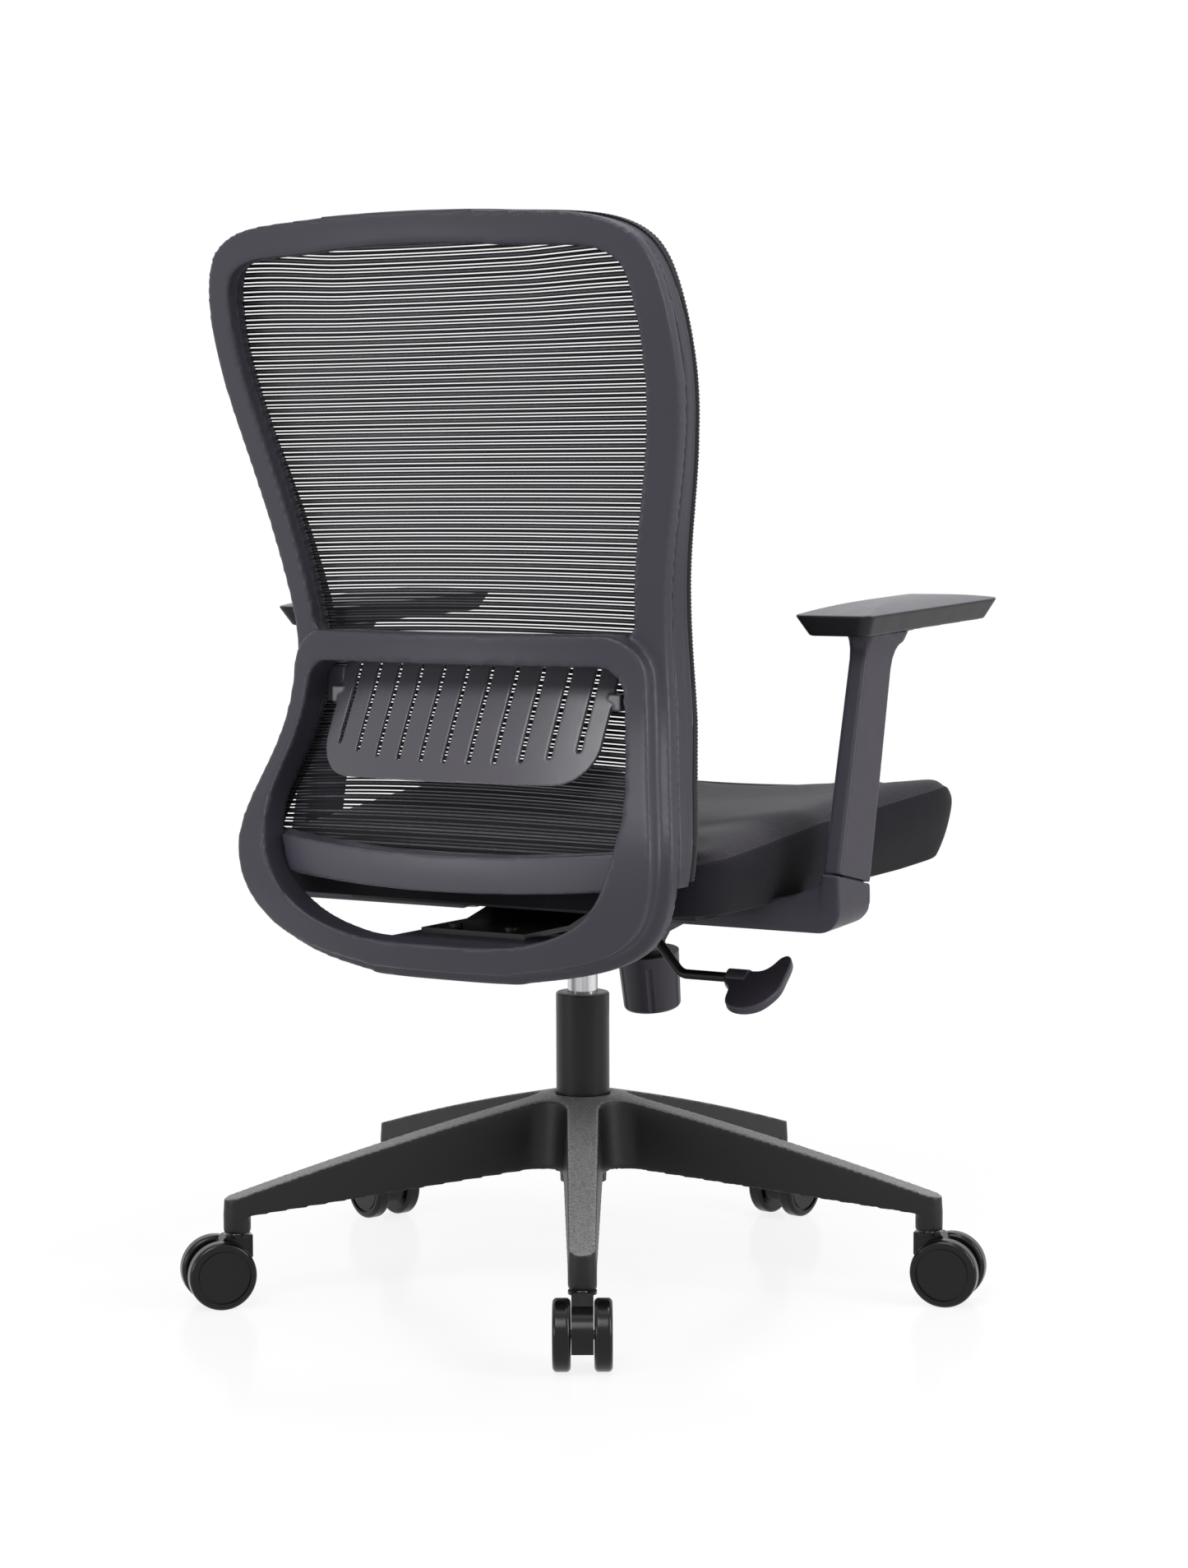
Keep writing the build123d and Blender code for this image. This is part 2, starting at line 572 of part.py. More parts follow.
def seat():
    rolled = [
        Polyline((SEAT_REAR, REAR_RISE), (PAN_REAR, PAN_T), (RISE_START, 0), (SEAT_FRONT + NOSE_LOW, 0)),
        ThreePointArc((SEAT_FRONT + NOSE_LOW, 0), (SEAT_FRONT, NOSE), (SEAT_FRONT + NOSE, SEAM_H)),
        Line((SEAT_FRONT + NOSE, SEAM_H), (SEAT_REAR - NOSE / 2, SEAM_H)),
        ThreePointArc((SEAT_REAR - NOSE / 2, SEAM_H), (SEAT_REAR - HEEL, SEAM_H - HEEL),
                      (SEAT_REAR, SEAM_H - NOSE / 2)),
        Line((SEAT_REAR, SEAM_H - NOSE / 2), (SEAT_REAR, REAR_RISE)),
    ]
    body = across(make_face(rolled), SEAT_HALF)
    sides = loft([seat_outline(SEAT_DRAW_IN, -1), seat_outline(0, WAIST_H),
                  seat_outline(SEAM_INSET, SEAM_H + 1)], ruled=True)
    dish_r = (DISH_HALF ** 2 + DISH ** 2) / (2 * DISH)
    dish = Pos(0, 0, SEAM_H - DISH + dish_r) * Rot(90, 0, 0) * Cylinder(dish_r, 4 * SEAT_HALF)
    cushion = (body & sides) - dish
    reach = Pos(0, PAN_REAR - SEAT_HALF) * Rectangle(2 * SEAT_HALF, 2 * SEAT_HALF)
    room_plan = seat_outline(PAN_INSET - SEAT_GAP, -1) & Pos(0, SEAT_GAP, -1) * reach
    pan_room = extrude(room_plan, PAN_T + SEAT_GAP + 1)
    pan = extrude(seat_outline(PAN_INSET, 0) & reach, PAN_T)
    cushion -= pan_room
    plate = block((-PLATE_HALF, PLATE_HALF), (PLATE_FRONT, PLATE_REAR), (-PLATE_T, 0))
    plate = fillet(plate.edges().filter_by(Axis.Z), SEAT_SCREW_X / 4)
    screws = []
    for x in (-SEAT_SCREW_X, SEAT_SCREW_X):
        for y in SEAT_SCREW_Y:
            spot = Pos(x, y, 0)
            shank = rod(SCREW_R, -PLATE_T, SCREW_BITE) + screw(-PLATE_T - SCREW_HEAD)
            screws.append(SEAT_PLANE * spot * shank)
            plate -= spot * rod(SCREW_R + RUN, -PLATE_T, 0)
            pan -= spot * rod(SCREW_R + RUN, 0, SCREW_BITE + RUN)
    arm_screws = []
    for side in SIDES.values():
        for x in ARM_SCREW_X:
            spot = Pos(side * x, ARM_Y, 0)
            shank = rod(SCREW_R, -BRACKET_PLATE, SCREW_BITE) + screw(-BRACKET_PLATE - SCREW_HEAD)
            arm_screws.append(SEAT_PLANE * spot * shank)
            pan -= spot * rod(SCREW_R + RUN, 0, SCREW_BITE + RUN)
    tilt_plate = SEAT_PLANE * plate
    ear_in = HOUSING_HALF + EAR_GAP
    for side in SIDES.values():
        x = sorted((side * ear_in, side * (ear_in + EAR_WALL)))
        ear = block(x, (PIVOT_Y - EAR_HALF, PIVOT_Y + EAR_HALF), (PIVOT_Z, SEAT_Z - PLATE_T / 2))
        ear += Pos((x[0] + x[1]) / 2, PIVOT_Y, PIVOT_Z) * Rot(0, 90, 0) * Cylinder(EAR_HALF, EAR_WALL)
        ear -= Pos((x[0] + x[1]) / 2, PIVOT_Y, PIVOT_Z) * Rot(0, 90, 0) * Cylinder(PIVOT_R + RUN, EAR_WALL)
        tilt_plate += ear
    return {"tilt_plate": [tilt_plate], "seat_pan": [SEAT_PLANE * pan],
            "seat_cushion": [SEAT_PLANE * cushion], "seat_screws": screws, "arm_screws": arm_screws}


# Back

def inset_points(points, inset):
    """Move the half outline's points inwards along their normals, keeping the ends on the middle line."""
    moved = []
    for i, (x, z) in enumerate(points):
        if i in (0, len(points) - 1):
            moved.append((0, z - inset if i == 0 else z + inset))
            continue
        (ax, az), (bx, bz) = points[i - 1], points[i + 1]
        run = hypot(bx - ax, bz - az)
        moved.append((x + inset * (bz - az) / run, z - inset * (bx - ax) / run))
    return moved


def mirrored_face(points, tangents):
    """Face between a half outline and its mirror image, closed by a straight line if it ends off centre."""
    half = Spline(*points, tangents=tangents)
    edges = [half, mirror(half, Plane.YZ)]
    if points[-1][0]:
        edges.append(Line(points[-1], (-points[-1][0], points[-1][1])))
    return make_face(edges)


def back_face(inset):
    return mirrored_face(inset_points(BACK_OUTLINE, inset), [(1, 0), (-1, 0)])


def band(low, high):
    """Wide rectangle between two heights, for cutting an outline."""
    return Pos(0, (low + high) / 2) * Rectangle(4 * SLAB_HALF, high - low)


def through(face):
    """Extrude a front view face through the whole depth of the back."""
    return extrude(Plane.XZ * face, 2 * SLAB_HALF, both=True)


def rear_y(x, z):
    """The back's rear face at a point of its front view."""
    y = between([(at, side) for at, side, half in BACK_PROFILE], z)
    half = between([(at, half) for at, side, half in BACK_PROFILE], z)
    return y + BOW * (1 - (x / half) ** 2)


def curved_slab(profile, bow_at, front, rear, half):
    """Bowed sheet between two offsets from a rear profile, lofted through the profile's heights."""
    sections = []
    for z in [station[0] for station in profile]:
        edge, middle = bow_at(half, z), bow_at(0, z)
        behind = ThreePointArc((-half, edge + rear, z), (0, middle + rear, z), (half, edge + rear, z))
        ahead = ThreePointArc((half, edge + front, z), (0, middle + front, z), (-half, edge + front, z))
        loop = Wire([behind, Line(behind @ 1, ahead @ 0), ahead, Line(ahead @ 1, behind @ 0)])
        sections.append(Face(loop))
    return loft(sections)


def back_slab(front, rear):
    return curved_slab(BACK_PROFILE, rear_y, front, rear, SLAB_HALF)


def back():
    upper = back_face(RAIL_W) & band(CROSSBAR_TOP, 2 * CROSSBAR_TOP)
    upper = fillet(upper.vertices().sort_by(Axis.Y)[:2], UPPER_CORNER_R)
    lower = mirrored_face(LOWER_WINDOW, [(1, 0), (-0.1, 1)])
    lower = fillet(lower.vertices().sort_by(Axis.Y)[-2:], LOWER_CORNER_R)
    loop_face = back_face(LOOP_INSET) & band(0, LOOP_TOP)
    loop_face = fillet(loop_face.vertices().sort_by(Axis.Y)[-2:], LOOP_CORNER_R)
    shell = through(back_face(0) - upper - lower) & back_slab(-SHELL_T, 0)
    loop = through(loop_face - lower) & back_slab(-LOOP_ROOT, LOOP_PROUD)
    tongue = block((-TONGUE_HALF, TONGUE_HALF), (TONGUE_FRONT, TONGUE_REAR), (TONGUE_LOW, TONGUE_TOP))
    frame = shell + loop + tongue
    seat_back = -SHELL_T - SEAT_GAP
    carrier_front = seat_back - MESH_FRAME_T
    ring = back_face(MESH_FRAME_INSET) - back_face(MESH_FRAME_INSET + MESH_FRAME_W)
    ring &= band(MESH_LOW, 2 * CROSSBAR_TOP)
    carrier = through(ring) & back_slab(carrier_front, seat_back)
    mid = MESH_RAIL_END_Z - MESH_RAIL_SAG
    low = MESH_RAIL_H
    rail_face = make_face([
        ThreePointArc((-MESH_RAIL_HALF, MESH_RAIL_END_Z), (0, mid), (MESH_RAIL_HALF, MESH_RAIL_END_Z)),
        Line((MESH_RAIL_HALF, MESH_RAIL_END_Z), (MESH_RAIL_HALF, MESH_RAIL_END_Z - low)),
        ThreePointArc((MESH_RAIL_HALF, MESH_RAIL_END_Z - low), (0, mid - low),
                      (-MESH_RAIL_HALF, MESH_RAIL_END_Z - low)),
        Line((-MESH_RAIL_HALF, MESH_RAIL_END_Z - low), (-MESH_RAIL_HALF, MESH_RAIL_END_Z)),
    ])
    floor = MESH_RAIL_END_Z - MESH_RAIL_H - MESH_RAIL_SAG
    low_reach = (lower & band(floor, floor + 1)).bounding_box().max.X - 2 * SEAT_GAP
    high_reach = (lower & band(MESH_RAIL_END_Z, MESH_RAIL_END_Z + 1)).bounding_box().max.X - 2 * SEAT_GAP
    shown = Polygon((-low_reach, floor), (low_reach, floor), (high_reach, MESH_RAIL_END_Z),
                    (-high_reach, MESH_RAIL_END_Z), align=None)
    rail_face &= back_face(MESH_FRAME_INSET + MESH_FRAME_W + SEAT_GAP)
    rail = through(rail_face) & back_slab(carrier_front, seat_back)
    rail += through(rail_face & shown) & back_slab(carrier_front / 2, -MESH_RAIL_PROUD)
    net = through(back_face(MESH_INSET) & band(MESH_LOW, 2 * CROSSBAR_TOP))
    net &= back_slab(carrier_front - SEAT_GAP - MESH_T, carrier_front - SEAT_GAP)
    plate_low = PLATE_T / cos(radians(SEAT_PITCH)) + RUN
    top_z = SEAT_Z - plate_low - BRACKET_FRONT * tan(radians(SEAT_PITCH))
    slope = tan(radians(SEAT_PITCH)) * (BRACKET_BEND_TOP - BRACKET_FRONT)
    upper_line = [(BRACKET_FRONT, top_z), (BRACKET_BEND_TOP, top_z - slope),
                  (BRACKET_BEND_LOW, TONGUE_TOP + BRACKET_T), (BRACKET_REAR, TONGUE_TOP + BRACKET_T)]
    lower_line = [(y, z - BRACKET_T) for y, z in reversed(upper_line)]
    bracket = across(Polygon(*upper_line, *lower_line, align=None), BRACKET_HALF)
    screws = []
    for x in (-BACK_SCREW_X, BACK_SCREW_X):
        spot = Pos(x, BACK_SCREW_Y, TONGUE_TOP)
        shank = rod(SCREW_R, -SCREW_BITE, BRACKET_T) + screw(BRACKET_T)
        screws.append(spot * shank)
        bracket -= spot * rod(SCREW_R + RUN, 0, BRACKET_T)
        frame -= spot * rod(SCREW_R + RUN, -SCREW_BITE - RUN, 0)
    return {"back_frame": [frame], "mesh_frame": [carrier], "mesh_rail": [rail], "back_mesh": [net],
            "back_bracket": [bracket], "back_screws": screws}


def lumbar():
    def bowed(x, z):
        return between(LUMBAR_PROFILE, z) - LUMBAR_BOW * (x / LUMBAR_HALF) ** 2

    sheet = curved_slab(LUMBAR_PROFILE, bowed, -LUMBAR_T, 0, LUMBAR_HALF + LUMBAR_T)
    middle = (LUMBAR_LOW + LUMBAR_HIGH) / 2
    face = Pos(0, middle) * Rectangle(2 * LUMBAR_HALF, LUMBAR_HIGH - LUMBAR_LOW)
    face = fillet(face.vertices().sort_by(Axis.Y)[:2], LUMBAR_CORNER_R)
    face = fillet(face.vertices().sort_by(Axis.Y)[-2:], LUMBAR_TOP_R)
    for k in range(SLOTS):
        step = k - (SLOTS - 1) / 2
        low = SLOT_LOW + SLOT_SHORTEN * (abs(step) / (SLOTS - 1) * 2) ** 3
        slot = Rot(0, 0, 90) * SlotOverall(SLOT_HIGH - low, SLOT_W)
        face -= Pos(step * SLOT_PITCH, (SLOT_HIGH + low) / 2) * slot
    pad = through(face) & sheet
    for side in SIDES.values():
        wing = sorted((side * WING_START, side * WING_REACH))
        pad += block(wing, (WING_REAR_Y - WING_T, WING_REAR_Y), (WING_LOW, WING_HIGH))
        root = LUMBAR_HALF - LUMBAR_T
        web = sorted((side * root, side * (root + WING_WEB)))
        pad += block(web, (WING_WEB_FRONT, WING_WEB_REAR), (WING_LOW, WING_LOW + WING_WEB_H))
    return {"lumbar_pad": [pad]}


# Arms, built for the left side on an upright axis and leaned forward about the parting line

def lean_arm(piece):
    return Location((ARM_X, ARM_Y, PARTING_Z), (ARM_LEAN, 0, 0)) * piece


def arm_section(grow, height):
    """Rounded section of the upright at a height above the parting line, grown on every side."""
    share = height / upright_length()
    wide = ARM_WIDE - ARM_NARROWING * share
    plan = RectangleRounded(ARM_THICK + 2 * grow, wide + 2 * grow, ARM_CORNER_R + grow)
    return Pos(0, -ARM_NARROWING * share / 2, height) * plan


def core_section(shrink, height):
    """Section of the post and of its hollow, which stay clear of the upright's narrowing rear wall."""
    plan = RectangleRounded(ARM_THICK - 2 * shrink, ARM_WIDE - ARM_NARROWING - 2 * shrink, CORE_CORNER_R)
    return Pos(0, -ARM_NARROWING / 2, height) * plan


def upright_length():
    """Length of the upright's axis from the parting line to well above the pad's underside."""
    return (PAD_UNDER_Z - PARTING_Z) / cos(radians(ARM_LEAN)) + ARM_WIDE


def arm_pieces():
    outer = ARM_X + ARM_THICK / 2
    floor = -BRACKET_PLATE
    bend = min(ELBOW_R, PARTING_Z - SEAT_Z - floor - 1)
    rise = PARTING_Z - SEAT_Z + ARM_WIDE * tan(radians(ARM_LEAN))
    inner_bend = bend / 2
    inner = ARM_X - ARM_THICK / 2
    elbow = make_face([
        Line((BRACKET_ROOT_X, floor), (outer - bend, floor)),
        RadiusArc((outer - bend, floor), (outer, floor + bend), -bend, short_sagitta=True),
        Line((outer, floor + bend), (outer, rise)),
        Line((outer, rise), (inner, rise)),
        Line((inner, rise), (inner, inner_bend)),
        RadiusArc((inner, inner_bend), (inner - inner_bend, 0), inner_bend, short_sagitta=True),
        Line((inner - inner_bend, 0), (BRACKET_ROOT_X, 0)),
        Line((BRACKET_ROOT_X, 0), (BRACKET_ROOT_X, floor)),
    ])
    bracket = SEAT_PLANE * Pos(0, ARM_Y, 0) * extrude(Plane.XZ * elbow, ARM_WIDE / 2, both=True)
    cutter = lean_arm(Pos(0, 0, SEAT_HALF) * Box(4 * ARM_THICK, 4 * ARM_WIDE, 2 * SEAT_HALF))
    bracket -= cutter
    post_in = SLEEVE_SKIN + POST_GAP
    post = lean_arm(extrude(core_section(post_in, -ARM_THICK), POST_LENGTH + ARM_THICK))
    bracket -= lean_arm(extrude(core_section(post_in - RUN, -ARM_THICK - RUN), 2 * ARM_THICK))
    for x in ARM_SCREW_X:
        bracket -= SEAT_PLANE * Pos(x, ARM_Y, 0) * rod(SCREW_R + RUN, -BRACKET_PLATE, 0)
    top_at = upright_length() - ARM_WIDE
    sleeve = loft([arm_section(0, PARTING_GAP), arm_section(0, upright_length())], ruled=True)
    foot = top_at - FLARE_H
    rings = [arm_section(FLARE_OUT * out - RUN, foot + FLARE_H * up) for up, out in FLARE_STEPS]
    sleeve += loft(rings, ruled=True)
    sleeve -= extrude(core_section(SLEEVE_SKIN, 0), SLEEVE_DEPTH)
    sleeve = lean_arm(sleeve)
    pad_spot = Location((PAD_X, ARM_Y, PAD_UNDER_Z), (-PAD_PITCH, 0, 0))
    above = pad_spot * Pos(0, 0, SEAT_HALF) * Box(2 * SEAT_HALF, 4 * SEAT_HALF, 2 * SEAT_HALF)
    sleeve -= above
    front, rear = PAD_FRONT - ARM_Y, PAD_REAR - ARM_Y
    middle = (front + rear) / 2

    def pad_plan(inset, height):
        plan = RectangleRounded(2 * (PAD_HALF - inset), rear - front - 2 * inset, PAD_CORNER_R)
        return Pos(0, middle, height) * plan

    pad = loft([pad_plan(PAD_UNDERCUT, 0), pad_plan(0, PAD_SIDE)], ruled=True)
    pad += extrude(pad_plan(0, PAD_SIDE), PAD_CROWN)
    crown_r = (PAD_HALF ** 2 + PAD_CROWN ** 2) / (2 * PAD_CROWN)
    pad &= Pos(0, 0, PAD_SIDE + PAD_CROWN - crown_r) * Rot(90, 0, 0) * Cylinder(crown_r, 4 * (rear - front))
    arch_r = ((rear - front) ** 2 / 4 + PAD_ARCH ** 2) / (2 * PAD_ARCH)
    pad &= Pos(0, middle, PAD_SIDE + PAD_CROWN - arch_r) * Rot(0, 90, 0) * Cylinder(arch_r, 4 * PAD_HALF)
    recess = block((-TRIGGER_W / 2 - SEAT_GAP, TRIGGER_W / 2 + SEAT_GAP),
                   (TRIGGER_Y - TRIGGER_LENGTH / 2 - SEAT_GAP, TRIGGER_Y + TRIGGER_LENGTH / 2 + SEAT_GAP),
                   (-1, TRIGGER_T + TRIGGER_TRAVEL))
    button = block((-TRIGGER_W / 2, TRIGGER_W / 2),
                   (TRIGGER_Y - TRIGGER_LENGTH / 2, TRIGGER_Y + TRIGGER_LENGTH / 2),
                   (-TRIGGER_TRAVEL, TRIGGER_T - SEAT_GAP))
    pad = pad_spot * (pad - recess)
    trigger = pad_spot * button
    return {"arm_bracket": bracket, "arm_post": post, "arm_sleeve": sleeve, "arm_pad": pad,
            "arm_trigger": trigger}


def all_nodes():
    nodes = {"five_star_base": [five_star_base()]}
    nodes.update(gas_lift())
    nodes.update(mechanism())
    nodes.update(tension_set())
    nodes.update(lever())
    nodes.update(seat())
    nodes.update(back())
    nodes.update(lumbar())
    for name, piece in arm_pieces().items():
        nodes[f"{name}_left"] = [piece]
        nodes[f"{name}_right"] = [mirror(piece, Plane.YZ)]
    nodes = {name: [Pos(0, 0, GROUND) * piece for piece in pieces] for name, pieces in nodes.items()}
    caster = caster_pieces()
    for k in range(ARMS):
        for name, solids in caster.items():
            nodes[f"caster_{k + 1}_{name}"] = [caster_spot(k) * solid for solid in solids]
    return nodes


os.makedirs("parts", exist_ok=True)
for node, pieces in all_nodes().items():
    solids = [solid for piece in pieces for solid in piece.solids()]
    export_step(solids[0] if len(solids) == 1 else Compound(children=solids), f"parts/{node}.step")
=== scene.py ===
"""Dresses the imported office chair: its mesh back, sewn seat, moulded arms, gas lift and casters."""

from __future__ import annotations

import json
import logging
import math
from dataclasses import dataclass, field
from enum import Enum
from typing import Any, Sequence

import bpy
import numpy as np
from mathutils import Matrix, Vector
from mathutils.bvhtree import BVHTree

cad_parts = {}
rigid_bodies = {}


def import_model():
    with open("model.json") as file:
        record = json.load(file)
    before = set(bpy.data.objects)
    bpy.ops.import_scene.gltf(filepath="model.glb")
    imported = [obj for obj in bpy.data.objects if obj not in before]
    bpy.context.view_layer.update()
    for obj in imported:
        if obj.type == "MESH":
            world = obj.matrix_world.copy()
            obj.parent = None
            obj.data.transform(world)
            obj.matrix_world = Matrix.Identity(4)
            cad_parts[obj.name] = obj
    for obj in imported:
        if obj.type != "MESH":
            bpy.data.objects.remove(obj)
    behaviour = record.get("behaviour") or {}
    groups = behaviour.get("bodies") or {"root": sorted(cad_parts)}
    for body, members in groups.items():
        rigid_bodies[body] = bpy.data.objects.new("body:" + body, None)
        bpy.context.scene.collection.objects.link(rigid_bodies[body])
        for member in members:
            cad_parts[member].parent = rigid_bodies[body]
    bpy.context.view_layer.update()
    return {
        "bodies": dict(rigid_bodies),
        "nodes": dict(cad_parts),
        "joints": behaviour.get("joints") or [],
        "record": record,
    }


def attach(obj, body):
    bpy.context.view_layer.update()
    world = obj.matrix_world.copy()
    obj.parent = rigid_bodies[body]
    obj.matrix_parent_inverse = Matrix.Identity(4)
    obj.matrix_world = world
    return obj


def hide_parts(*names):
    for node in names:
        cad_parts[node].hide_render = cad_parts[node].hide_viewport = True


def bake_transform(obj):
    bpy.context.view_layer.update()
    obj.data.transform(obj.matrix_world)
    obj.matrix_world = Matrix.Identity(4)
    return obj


LOG = logging.getLogger("chair")
MM = 0.001
GROUND = 4.0 * MM
Point = tuple[float, float, float]
Shares = tuple[float, ...]
Spots = tuple[tuple[float, float], ...]
Frame = dict[str, Any]
Tree = bpy.types.NodeTree
Socket = bpy.types.NodeSocket
Thing = bpy.types.Object


class Side(Enum):
    """The sitter's two sides, with the sign of X there."""

    LEFT = 1.0
    RIGHT = -1.0

    @property
    def word(self) -> str:
        """The side's name as the CAD nodes spell it."""
        return self.name.lower()


def linear(code: str) -> tuple[float, float, float, float]:
    """Turn an sRGB hex colour into a linear RGBA one.

    Args:
        code: six hex digits after a hash sign.

    Returns:
        Linear red, green and blue, and an alpha of one.
    """
    parts = [int(code[i:i + 2], 16) / 255 for i in (1, 3, 5)]
    r, g, b = [c / 12.92 if c <= 0.04045 else ((c + 0.055) / 1.055) ** 2.4 for c in parts]
    return r, g, b, 1.0


def add_object(name: str, data: bpy.types.ID) -> Thing:
    """Put a new object with its data into the scene."""
    made = bpy.data.objects.new(name, data)
    bpy.context.scene.collection.objects.link(made)
    return made


def empty_tree(owner: bpy.types.Material | bpy.types.World) -> Tree:
    """Turn on the nodes of a material or world and clear them."""
    owner.use_nodes = True
    owner.node_tree.nodes.clear()
    return owner.node_tree


def per_metre(size_mm: float) -> float:
    """A texture's scale for a pattern of one size."""
    return 1 / (size_mm * MM)


def add_node(tree: Tree, kind: str, inputs: dict[Any, Any] | None = None, out: int | str = 0,
             **settings: Any) -> Socket | None:
    """Add a shader node with its settings, its input values and its links.

    Args:
        tree: the material's or world's node tree.
        kind: the node's type, without the leading ShaderNode.
        inputs: value or output socket for each input, by the input's name or number.
        out: the output that is wanted, by name or number.
        settings: the node's own properties.

    Returns:
        That output of the new node, if it has any.
    """
    node = tree.nodes.new("ShaderNode" + kind)
    for name, value in settings.items():
        setattr(node, name, value)
    for name, value in (inputs or {}).items():
        if isinstance(value, Socket):
            tree.links.new(value, node.inputs[name])
        else:
            node.inputs[name].default_value = value
    return node.outputs[out] if node.outputs else None


@dataclass(frozen=True)
class Finish:
    """A surface: what it is made of and how it was made.

    The grain is moulded, woven or sprayed relief of one real size; mottle is how far the colour wanders.
    """

    name: str
    colour: str
    roughness: float = 0.5
    ior: float = 1.5
    metallic: float = 0.0
    grain_mm: float = 0.9
    grain_depth_mm: float = 0.012
    mottle: float = 0.12
    patch_mm: float = 60.0
    rough_spread: float = 0.06
    specular: float = 0.5
    sheen: float = 0.0
    sheen_roughness: float = 0.45

    def make(self) -> bpy.types.Material:
        """Build the material, once for each finish.

        Returns:
            The finish's node material.
        """
        found = bpy.data.materials.get(self.name)
        if found:
            return found
        material = bpy.data.materials.new(self.name)
        material.diffuse_color = linear(self.colour)
        tree = empty_tree(material)
        place = add_node(tree, "TexCoord", out="Object")
        shader = add_node(tree, "BsdfPrincipled", {
            "Base Color": self._colour(tree, place), "Roughness": self._roughness(tree, place),
            "Metallic": self.metallic, "IOR": self.ior, "Specular IOR Level": self.specular,
            "Sheen Weight": self.sheen, "Sheen Roughness": self.sheen_roughness,
            "Normal": self._relief(tree, place)})
        add_node(tree, "OutputMaterial", {"Surface": shader})
        return material

    def _colour(self, tree: Tree, place: Socket) -> Socket:
        """Colour that wanders a little from patch to patch."""
        patches = add_node(tree, "TexNoise", {"Vector": place, "Scale": per_metre(self.patch_mm),
                                              "Detail": 3.0})
        darker = [c * (1 - self.mottle) for c in linear(self.colour)[:3]] + [1.0]
        lighter = [min(1.0, c * (1 + self.mottle)) for c in linear(self.colour)[:3]] + [1.0]
        return add_node(tree, "Mix", {0: patches, 6: darker, 7: lighter}, 2, data_type="RGBA")

    def _roughness(self, tree: Tree, place: Socket) -> Socket:
        """Gloss that differs a little where hands and dust have been."""
        smears = add_node(tree, "TexNoise", {"Vector": place, "Scale": per_metre(self.patch_mm / 3),
                                             "Detail": 4.0})
        return add_node(tree, "MapRange", {"Value": smears, "To Min": self.roughness - self.rough_spread,
                                           "To Max": self.roughness + self.rough_spread})

    def _relief(self, tree: Tree, place: Socket) -> Socket:
        """Fine pebbled relief of the grain's size."""
        grain = add_node(tree, "TexNoise", {"Vector": place, "Scale": per_metre(self.grain_mm)})
        return add_node(tree, "Bump", {"Height": grain, "Distance": self.grain_depth_mm * MM})

    def _toned(self, tree: Tree, colour: Any, pattern: Socket, share: float,
               span: tuple[float, float] = (0.0, 1.0)) -> Socket:
        """Make a colour darker and paler by a pattern.

        Args:
            tree: the material's node tree.
            colour: a colour or the socket that gives it.
            pattern: the socket with the pattern's value.
            share: how much darker and paler the colour gets.
            span: the pattern's values that give the darkest and the palest tone.

        Returns:
            The toned colour.
        """
        shade = add_node(tree, "MapRange", {"Value": pattern, "From Min": span[0], "From Max": span[1],
                                            "To Min": 1 - share, "To Max": 1 + share})
        return add_node(tree, "Mix", {0: 1.0, 6: colour, 7: shade}, 2, data_type="RGBA",
                        blend_type="MULTIPLY")


@dataclass(frozen=True)
class SpunMetal(Finish):
    """Drawn or ground round metal: fine lines run along the part, so highlights stretch across it."""

    line_mm: float = 0.6
    line_draw: float = 0.02
    streak_mm: float = 7.0
    streak_draw: float = 0.01
    # How strongly pale and dark streaks are painted into the colour, as painted reflections.
    painted_reflection: float = 0.0

    def _colour(self, tree: Tree, place: Socket) -> Socket:
        """Long pale and dark streaks over the metal's colour: painted reflections."""
        plain = super()._colour(tree, place)
        drawn = add_node(tree, "Mapping", {"Vector": place, "Scale": (1.0, 1.0, self.streak_draw)})
        runs = add_node(tree, "TexNoise", {"Vector": drawn, "Scale": per_metre(self.streak_mm),
                                           "Detail": 1.0})
        return self._toned(tree, plain, runs, self.painted_reflection, (0.35, 0.65))

    def _relief(self, tree: Tree, place: Socket) -> Socket:
        """Lines along Z, stretched from a fine noise."""
        drawn = add_node(tree, "Mapping", {"Vector": place, "Scale": (1.0, 1.0, self.line_draw)})
        lines = add_node(tree, "TexNoise", {"Vector": drawn, "Scale": per_metre(self.line_mm)})
        return add_node(tree, "Bump", {"Height": lines, "Strength": 0.6,
                                       "Distance": self.grain_depth_mm * MM})


@dataclass(frozen=True)
class WovenCloth(Finish):
    """Plain woven polyester: crossing threads with a short fuzz that glows at the edges.

    The real thread is near 0.4 mm, too fine to show, so it is drawn about three times as coarse.
    """

    thread_mm: float = 1.3
    weave_depth_mm: float = 0.25
    # How much the crowns are painted lighter and the gaps darker: painted light and shade of the weave.
    painted_weave_shading: float = 0.35
    draw: float = 0.14
    heights: tuple[float, float] = (1.1, 1.9)

    def _weave(self, tree: Tree, place: Socket) -> Socket:
        """Height of uneven threads that run three ways, each a noise drawn out along its thread."""
        runs = []
        for stretch in ((self.draw, 1.0, 1.0), (1.0, self.draw, 1.0), (1.0, 1.0, self.draw)):
            drawn = add_node(tree, "Mapping", {"Vector": place, "Scale": stretch})
            runs.append(add_node(tree, "TexNoise", {"Vector": drawn, "Scale": per_metre(self.thread_mm)}))
        pair = add_node(tree, "Math", {0: runs[0], 1: runs[1]}, operation="ADD")
        total = add_node(tree, "Math", {0: pair, 1: runs[2]}, operation="ADD")
        low, high = self.heights
        return add_node(tree, "MapRange", {"Value": total, "From Min": low, "From Max": high})

    def _colour(self, tree: Tree, place: Socket) -> Socket:
        """Thread crowns painted lighter and gaps painted darker by the thread's height, as painted light
        and shade, over slow patches.
        """
        return self._toned(tree, super()._colour(tree, place), self._weave(tree, place), self.painted_weave_shading)

    def _relief(self, tree: Tree, place: Socket) -> Socket:
        """Threads standing over their gaps."""
        weave = self._weave(tree, place)
        return add_node(tree, "Bump", {"Height": weave, "Distance": self.weave_depth_mm * MM})


